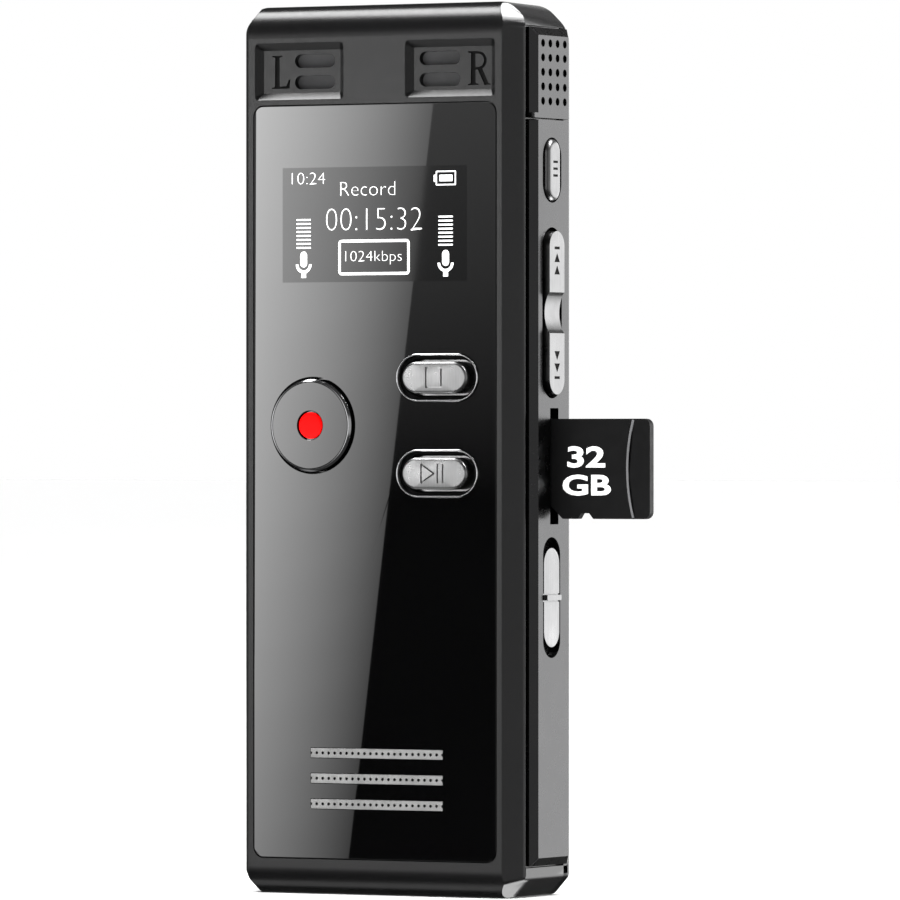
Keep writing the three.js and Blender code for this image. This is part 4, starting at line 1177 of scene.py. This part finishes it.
def slide_knob():
    middle, z = KNOB_MID, KNOB_Z
    face = RAIL_HIGH.x
    knob = prism("slide_knob", pill(middle, z, 3.5, 10.85, steps=20), side_plane, (17.45, face), True)
    soften(knob, 0.13, 3, 35)
    grooves = [prism("groove", rounded(middle - 2.1, middle + 2.13, z + a, z + b, 0.023, 2), side_plane,
                     (face - 0.14, face + 1), True) for a, b in ((-0.463, -0.203), (0.197, 0.457))]
    combine(knob, grooves)
    nub = prism("nub", rounded(middle - 1.6, middle + 1.65, z - 0.3, z + 0.3, 0.12, 4),
                side_plane, (face - 0.3, face + 0.35), True)
    soften(nub, 0.08, 3, 35)
    stem = prism("stem", rounded(6.5, 7.8, z - 1, z + 1, 0.1, 2), side_plane, (15.2, 17.6))
    lever = prism("lever", rounded(6.85, 7.45, z - 0.5, z + 0.5, 0.05, 2), side_plane, (14.1, 15.3))
    combine(knob, [nub, stem, lever], "UNION")
    dress(smooth(knob, 35), SILVER, "power_knob", ["slide_knob"])


# ---------------------------------------------------------------- memory card


def card_outline():
    """The card with its step, its finger notch and its round outer corners."""
    low, high = box_mm("memory_card")
    x0, x1, z0, z1 = low.x, high.x, low.z, high.z
    corners = [
        (x0, z0 + 1.47, 0.15), (x0 + 2.7, z0 + 1.47, 0.3), (x0 + 4.2, z0, 0.3), (x0 + 6.1, z0, 0.15),
        (x0 + 6.5, z0 + 0.62, 0.15), (x0 + 7.5, z0 + 0.62, 0.15), (x0 + 8.0, z0, 0.15),
        (x1, z0, 0.8), (x1, z1, 0.8), (x0, z1, 0.3),
    ]
    return filleted(corners, 5)


def memory_card():
    front, rear = RAIL_MID - 0.5, RAIL_MID + 0.5
    low, high = box_mm("memory_card")
    card = prism("memory_card", card_outline(), face_plane, (front + 0.12, rear))
    soften(card, 0.09, 2, 35)
    dress(smooth(card, 30), CARD, "card", ["memory_card"])
    middle, radius, across = high.x - 2.75, 20.0, (low.z + high.z) / 2
    swing = math.degrees(math.asin((high.z - low.z) / 2 / radius)) - 0.4
    bead = arc(middle + radius, across, radius + 0.13, 180 - swing, 180 + swing, 32)
    bead += arc(middle + radius, across, radius - 0.13, 180 + swing, 180 - swing, 32)
    ridge = prism("card_ridge", bead, face_plane, (front + 0.02, front + 0.3))
    soften(ridge, 0.05, 2, 40)
    dress(smooth(ridge), RIDGE, "card")
    contacts(low, rear)
    card_print(low, high, front + 0.12)


def contacts(low, rear):
    """Gold pads on the back of the card's inner end."""
    bm = bmesh.new()
    for i in range(8):
        z = low.z + 2.1 + 1.12 * i
        reach = 2.6 if i in (3, 5) else 2.35
        outline = rounded(low.x + 0.35, low.x + 0.35 + reach, z - 0.4, z + 0.4, 0.12, 3)
        levels = (rear - 0.03, rear + 0.012)
        skin_into(bm, [[face_plane(a, b, level) for a, b in outline] for level in levels])
    pads = new_piece("card_contacts", bm)
    dress(pads, GOLD, "card")


def card_print(low, high, level):
    """The card's capacity in white."""
    left = low.x + 4.2

    def draw(bm):
        text_into(bm, "32", left + 0.6, low.z + 5.6, 2.35, level - 0.004, 4.7, bold=0.03)
        text_into(bm, "GB", left, low.z + 2.55, 2.3, level - 0.004, 6.0, bold=0.03)

    flat_marks("card_print", draw, PRINT, "card")


# ---------------------------------------------------------------- sockets in the ends


def jack_collar(name, x):
    """A metal lining in the mouth of a jack, above the jack's dark barrel."""
    rings = []
    profile = ((1.86, 86.4), (1.86, 97.85), (1.84, 97.9), (1.62, 97.9), (1.6, 97.85), (1.6, 86.6))
    for radius, level in profile:
        rings.append((circle(x, JACK_DEPTH, radius, 40), level))
    ring = loft(name + "_collar", rings, floor_plane, closed=True)
    dress(smooth(ring, 40), STEEL, "case")


# ---------------------------------------------------------------- carried-over CAD nodes

CARRIED = (
    (PART_BLACK, ("stop_switch", "play_switch", "record_switch", "menu_switch", "rocker_switch_upper",
                  "rocker_switch_lower", "slide_switch", "display_module", "speaker", "headphone_jack",
                  "microphone_jack")),
    (STEEL, ("rocker_pin", "card_socket", "usb_port", "left_microphone", "right_microphone",
             "side_microphone")),
    (BOARD, ("main_board", "key_board")),
    (FILM, ("display_flex", "key_flex")),
    (FOIL, ("battery",)),
    (FOAM, ("battery_pad", "speaker_gasket")),
    (RUBBER, ("left_mic_gasket", "right_mic_gasket", "side_mic_gasket")),
)


def finish_carried():
    """Materials for the sealed inner pieces, which stay as CAD nodes."""
    for material, names in CARRIED:
        for name in names:
            node = frame["nodes"][name]
            node.data.materials.clear()
            node.data.materials.append(material)


# ---------------------------------------------------------------- stage, light and camera


def emitter(name):
    """A white glowing material, with its node tree and its emission node."""
    material = bpy.data.materials.new(name)
    material.use_nodes = True
    tree = material.node_tree
    tree.nodes.clear()
    out = add_node(tree, "OutputMaterial")
    glow = add_node(tree, "Emission", {"Color": (1, 1, 1, 1)})
    tree.links.new(glow.outputs["Emission"], out.inputs["Surface"])
    return material, tree, glow


VIEW_ANGLE = math.radians(28.88)
CAMERA_DISTANCE = 1.0042
TOWARDS_CAMERA = Vector((math.sin(VIEW_ANGLE), -math.cos(VIEW_ANGLE), 0))
RIGHTWARD = Vector((math.cos(VIEW_ANGLE), math.sin(VIEW_ANGLE), 0))


def camera():
    data = bpy.data.cameras.new("camera")
    data.sensor_width = 36
    data.lens = 365.7
    data.clip_start = 0.05
    data.clip_end = 60
    eye = add_object("camera", data)
    base = Vector((0, FRONT * MM, 0.04897)) + RIGHTWARD * 0.00834
    eye.location = base + TOWARDS_CAMERA * CAMERA_DISTANCE
    eye.rotation_euler = (-TOWARDS_CAMERA).to_track_quat("-Z", "Y").to_euler()
    bpy.context.scene.camera = eye


def stage_plane(name, corners, material, camera_sees=True):
    mesh = bpy.data.meshes.new(name)
    faces = [(i, i + 1, i + 3, i + 2) for i in range(0, len(corners) - 2, 2)]
    mesh.from_pydata([tuple(c) for c in corners], [], faces)
    piece = add_object(name, mesh)
    piece.data.materials.append(material)
    piece.visible_camera = camera_sees
    return piece


def floor():
    nodes = Nodes("floor_paint", (0.92, 0.92, 0.92), 0.8)
    nodes.roughen(nodes.noise((3, 3, 3)), 0.7, 0.9)
    reach = 12
    corners = [(x * reach, y * reach, 0) for y in (-1, 1) for x in (-1, 1)]
    ground = stage_plane("floor", corners, nodes.material)
    ground.visible_glossy = False


def area(name, location, target, size, power):
    """A softbox that faces a target."""
    data = bpy.data.lights.new(name, "AREA")
    data.shape = "RECTANGLE"
    data.size, data.size_y = size
    data.energy = power
    lamp = add_object(name, data)
    lamp.location = location
    lamp.rotation_euler = (Vector(target) - Vector(location)).to_track_quat("-Z", "Y").to_euler()
    return lamp


def mirrored_spot(x, z, reach):
    """Where the sight line through a window point, mirrored by the window, meets an upright card."""
    eye = bpy.context.scene.camera.location
    mirrored = Vector((eye.x, 2 * FRONT * MM - eye.y, eye.z))
    away = Vector((-math.sin(VIEW_ANGLE), -math.cos(VIEW_ANGLE), 0))
    point = Vector((x * MM, FRONT * MM, z * MM))
    ray = (point - mirrored).normalized()
    return point + ray * (reach / ray.dot(away))


CARD_LOW, CARD_HIGH = -8, 102       # reach of the light cards above and below the window


def light_card(name, edges, reach, across, along):
    """An upright light card for the window to mirror, its brightness a product of two ramps."""
    (x0, x1), (x2, x3) = edges
    rows = 16
    corners = []
    for i in range(rows + 1):
        t = i / rows
        height = CARD_LOW + (CARD_HIGH - CARD_LOW) * t
        corners.append(mirrored_spot(x0 + (x2 - x0) * t, height, reach))
        corners.append(mirrored_spot(x1 + (x3 - x1) * t, height, reach))
    material, tree, glow = emitter(name)
    coords = tree.nodes.new("ShaderNodeTexCoord")
    split = tree.nodes.new("ShaderNodeSeparateXYZ")
    tree.links.new(coords.outputs["UV"], split.inputs["Vector"])
    wide = ranged(tree, split.outputs["X"], *across)
    tall = ranged(tree, split.outputs["Y"], *along)
    tree.links.new(combined(tree, "MULTIPLY", wide, tall), glow.inputs["Strength"])
    card = stage_plane(name, corners, material, camera_sees=False)
    layer = card.data.uv_layers.new(name="UVMap")
    for loop in card.data.loops:
        layer.data[loop.index].uv = (loop.vertex_index % 2, loop.vertex_index // 2 / rows)
    card.visible_shadow = False
    card.visible_diffuse = False


def world():
    """White to the eye. To surfaces it is a studio: a low band in front, a tall wall behind right."""
    background = bpy.data.worlds.new("studio")
    bpy.context.scene.world = background
    background.use_nodes = True
    tree = background.node_tree
    tree.nodes.clear()
    coords = tree.nodes.new("ShaderNodeTexCoord")
    direction = coords.outputs["Generated"]
    split = tree.nodes.new("ShaderNodeSeparateXYZ")
    tree.links.new(direction, split.inputs["Vector"])
    level = combined(tree, "ABSOLUTE", split.outputs["Z"], 0.0)
    band = ranged(tree, level, 1.0, 0.0, 0.06, 0.27, True)
    wall = ranged(tree, level, 1.0, 0.0, 0.18, 0.38, True)

    def lobe(axis, strength, start, end):
        dot = tree.nodes.new("ShaderNodeVectorMath")
        dot.operation = "DOT_PRODUCT"
        dot.inputs[1].default_value = Vector(axis).normalized()
        tree.links.new(direction, dot.inputs[0])
        return ranged(tree, dot.outputs["Value"], 0.0, strength, start, end, True)

    front = combined(tree, "MULTIPLY", lobe((-0.55, -0.83, 0), 1.2, 0.3, 0.85), band)
    behind = combined(tree, "MULTIPLY", lobe((0.42, 0.9, 0), 3.0, 0.5, 0.85), wall)
    right = combined(tree, "MULTIPLY", lobe((0.97, -0.24, 0), 0.4, 0.8, 0.95), wall)
    under = lobe((0.37, 0.45, -0.81), 8.0, 0.93, 0.99)
    low = lobe((-0.48, -0.33, -0.81), 0.9, 0.955, 0.995)
    total = combined(tree, "ADD", combined(tree, "ADD", front, behind), combined(tree, "ADD", under, right))
    total = combined(tree, "ADD", total, low)
    total = combined(tree, "ADD", total, 0.05)
    out = add_node(tree, "OutputWorld")
    seen = add_node(tree, "Background", {"Color": (1, 1, 1, 1)})
    lit = add_node(tree, "Background", {"Color": (1, 1, 1, 1)})
    tree.links.new(total, lit.inputs["Strength"])
    path = add_node(tree, "LightPath")
    mix = add_node(tree, "MixShader")
    tree.links.new(path.outputs["Is Camera Ray"], mix.inputs["Fac"])
    tree.links.new(lit.outputs["Background"], mix.inputs[1])
    tree.links.new(seen.outputs["Background"], mix.inputs[2])
    tree.links.new(mix.outputs["Shader"], out.inputs["Surface"])


def lights():
    aim = Vector((0, 0, 0.06))
    area("roll_softbox", aim + Vector((-0.483, -0.234, 0.844)), aim, (0.55, 0.24), 6.6)
    area("corner_softbox", aim + Vector((0.40, 0.30, 0.86)), aim, (0.3, 0.3), 8)
    area("chamfer_softbox", aim + Vector((0.64, 0.12, 0.76)), aim, (0.3, 0.4), 6)
    data = bpy.data.lights.new("sky", "SUN")
    data.energy = 3.5
    data.angle = math.radians(50)
    sky = add_object("sky", data)
    sky.rotation_euler = (math.radians(18), math.radians(-10), 0)
    sky.visible_glossy = False


bpy.context.scene.view_settings.view_transform = "Standard"
camera()
world()
floor()
lights()
light_card("bright_card", ((-17, -4.75), (-17, 9.35)), 0.60, (1.0, 0.18), (4.4, 15.1))
light_card("faint_card", ((-17, 24), (-17, 24)), 0.62, (1.1, 0.85), (0.03, 1.08, 0.47, 0.88))

front_shell()
rear_cover()
for index, (x, z) in enumerate(SCREW_PLACES):
    cross_screw(f"cover_screw_{index + 1}", x, z, 1.3, DEPTH - 0.48, 4.3)
for index, (x, z) in enumerate([(-13.6, 83.7), (13.4, 20.5)]):
    cross_screw(f"board_screw_{index + 1}", x, z, 1.25, 9.85, 3.9)
right_rail()
left_rail()
mic_grille()
window_panel()
display_screen()
flat_marks("display_marks", draw_display, MARKS, "case")
record_button()
pill_key("stop_button", STOP_Z, stop_icon, "stop_key")
pill_key("play_button", PLAY_Z, play_icon, "play_key")
bezel("stop_bezel", STOP_Z)
bezel("play_bezel", PLAY_Z)
key_well("stop_well", STOP_Z)
key_well("play_well", PLAY_Z)
mic_cloths()
for number in (1, 2, 3):
    speaker_strip(number)
speaker_hole_shade()
menu_button()
rocker()
slide_knob()
memory_card()
jack_collar("headphone", -JACK_X)
jack_collar("microphone", JACK_X)
finish_carried()
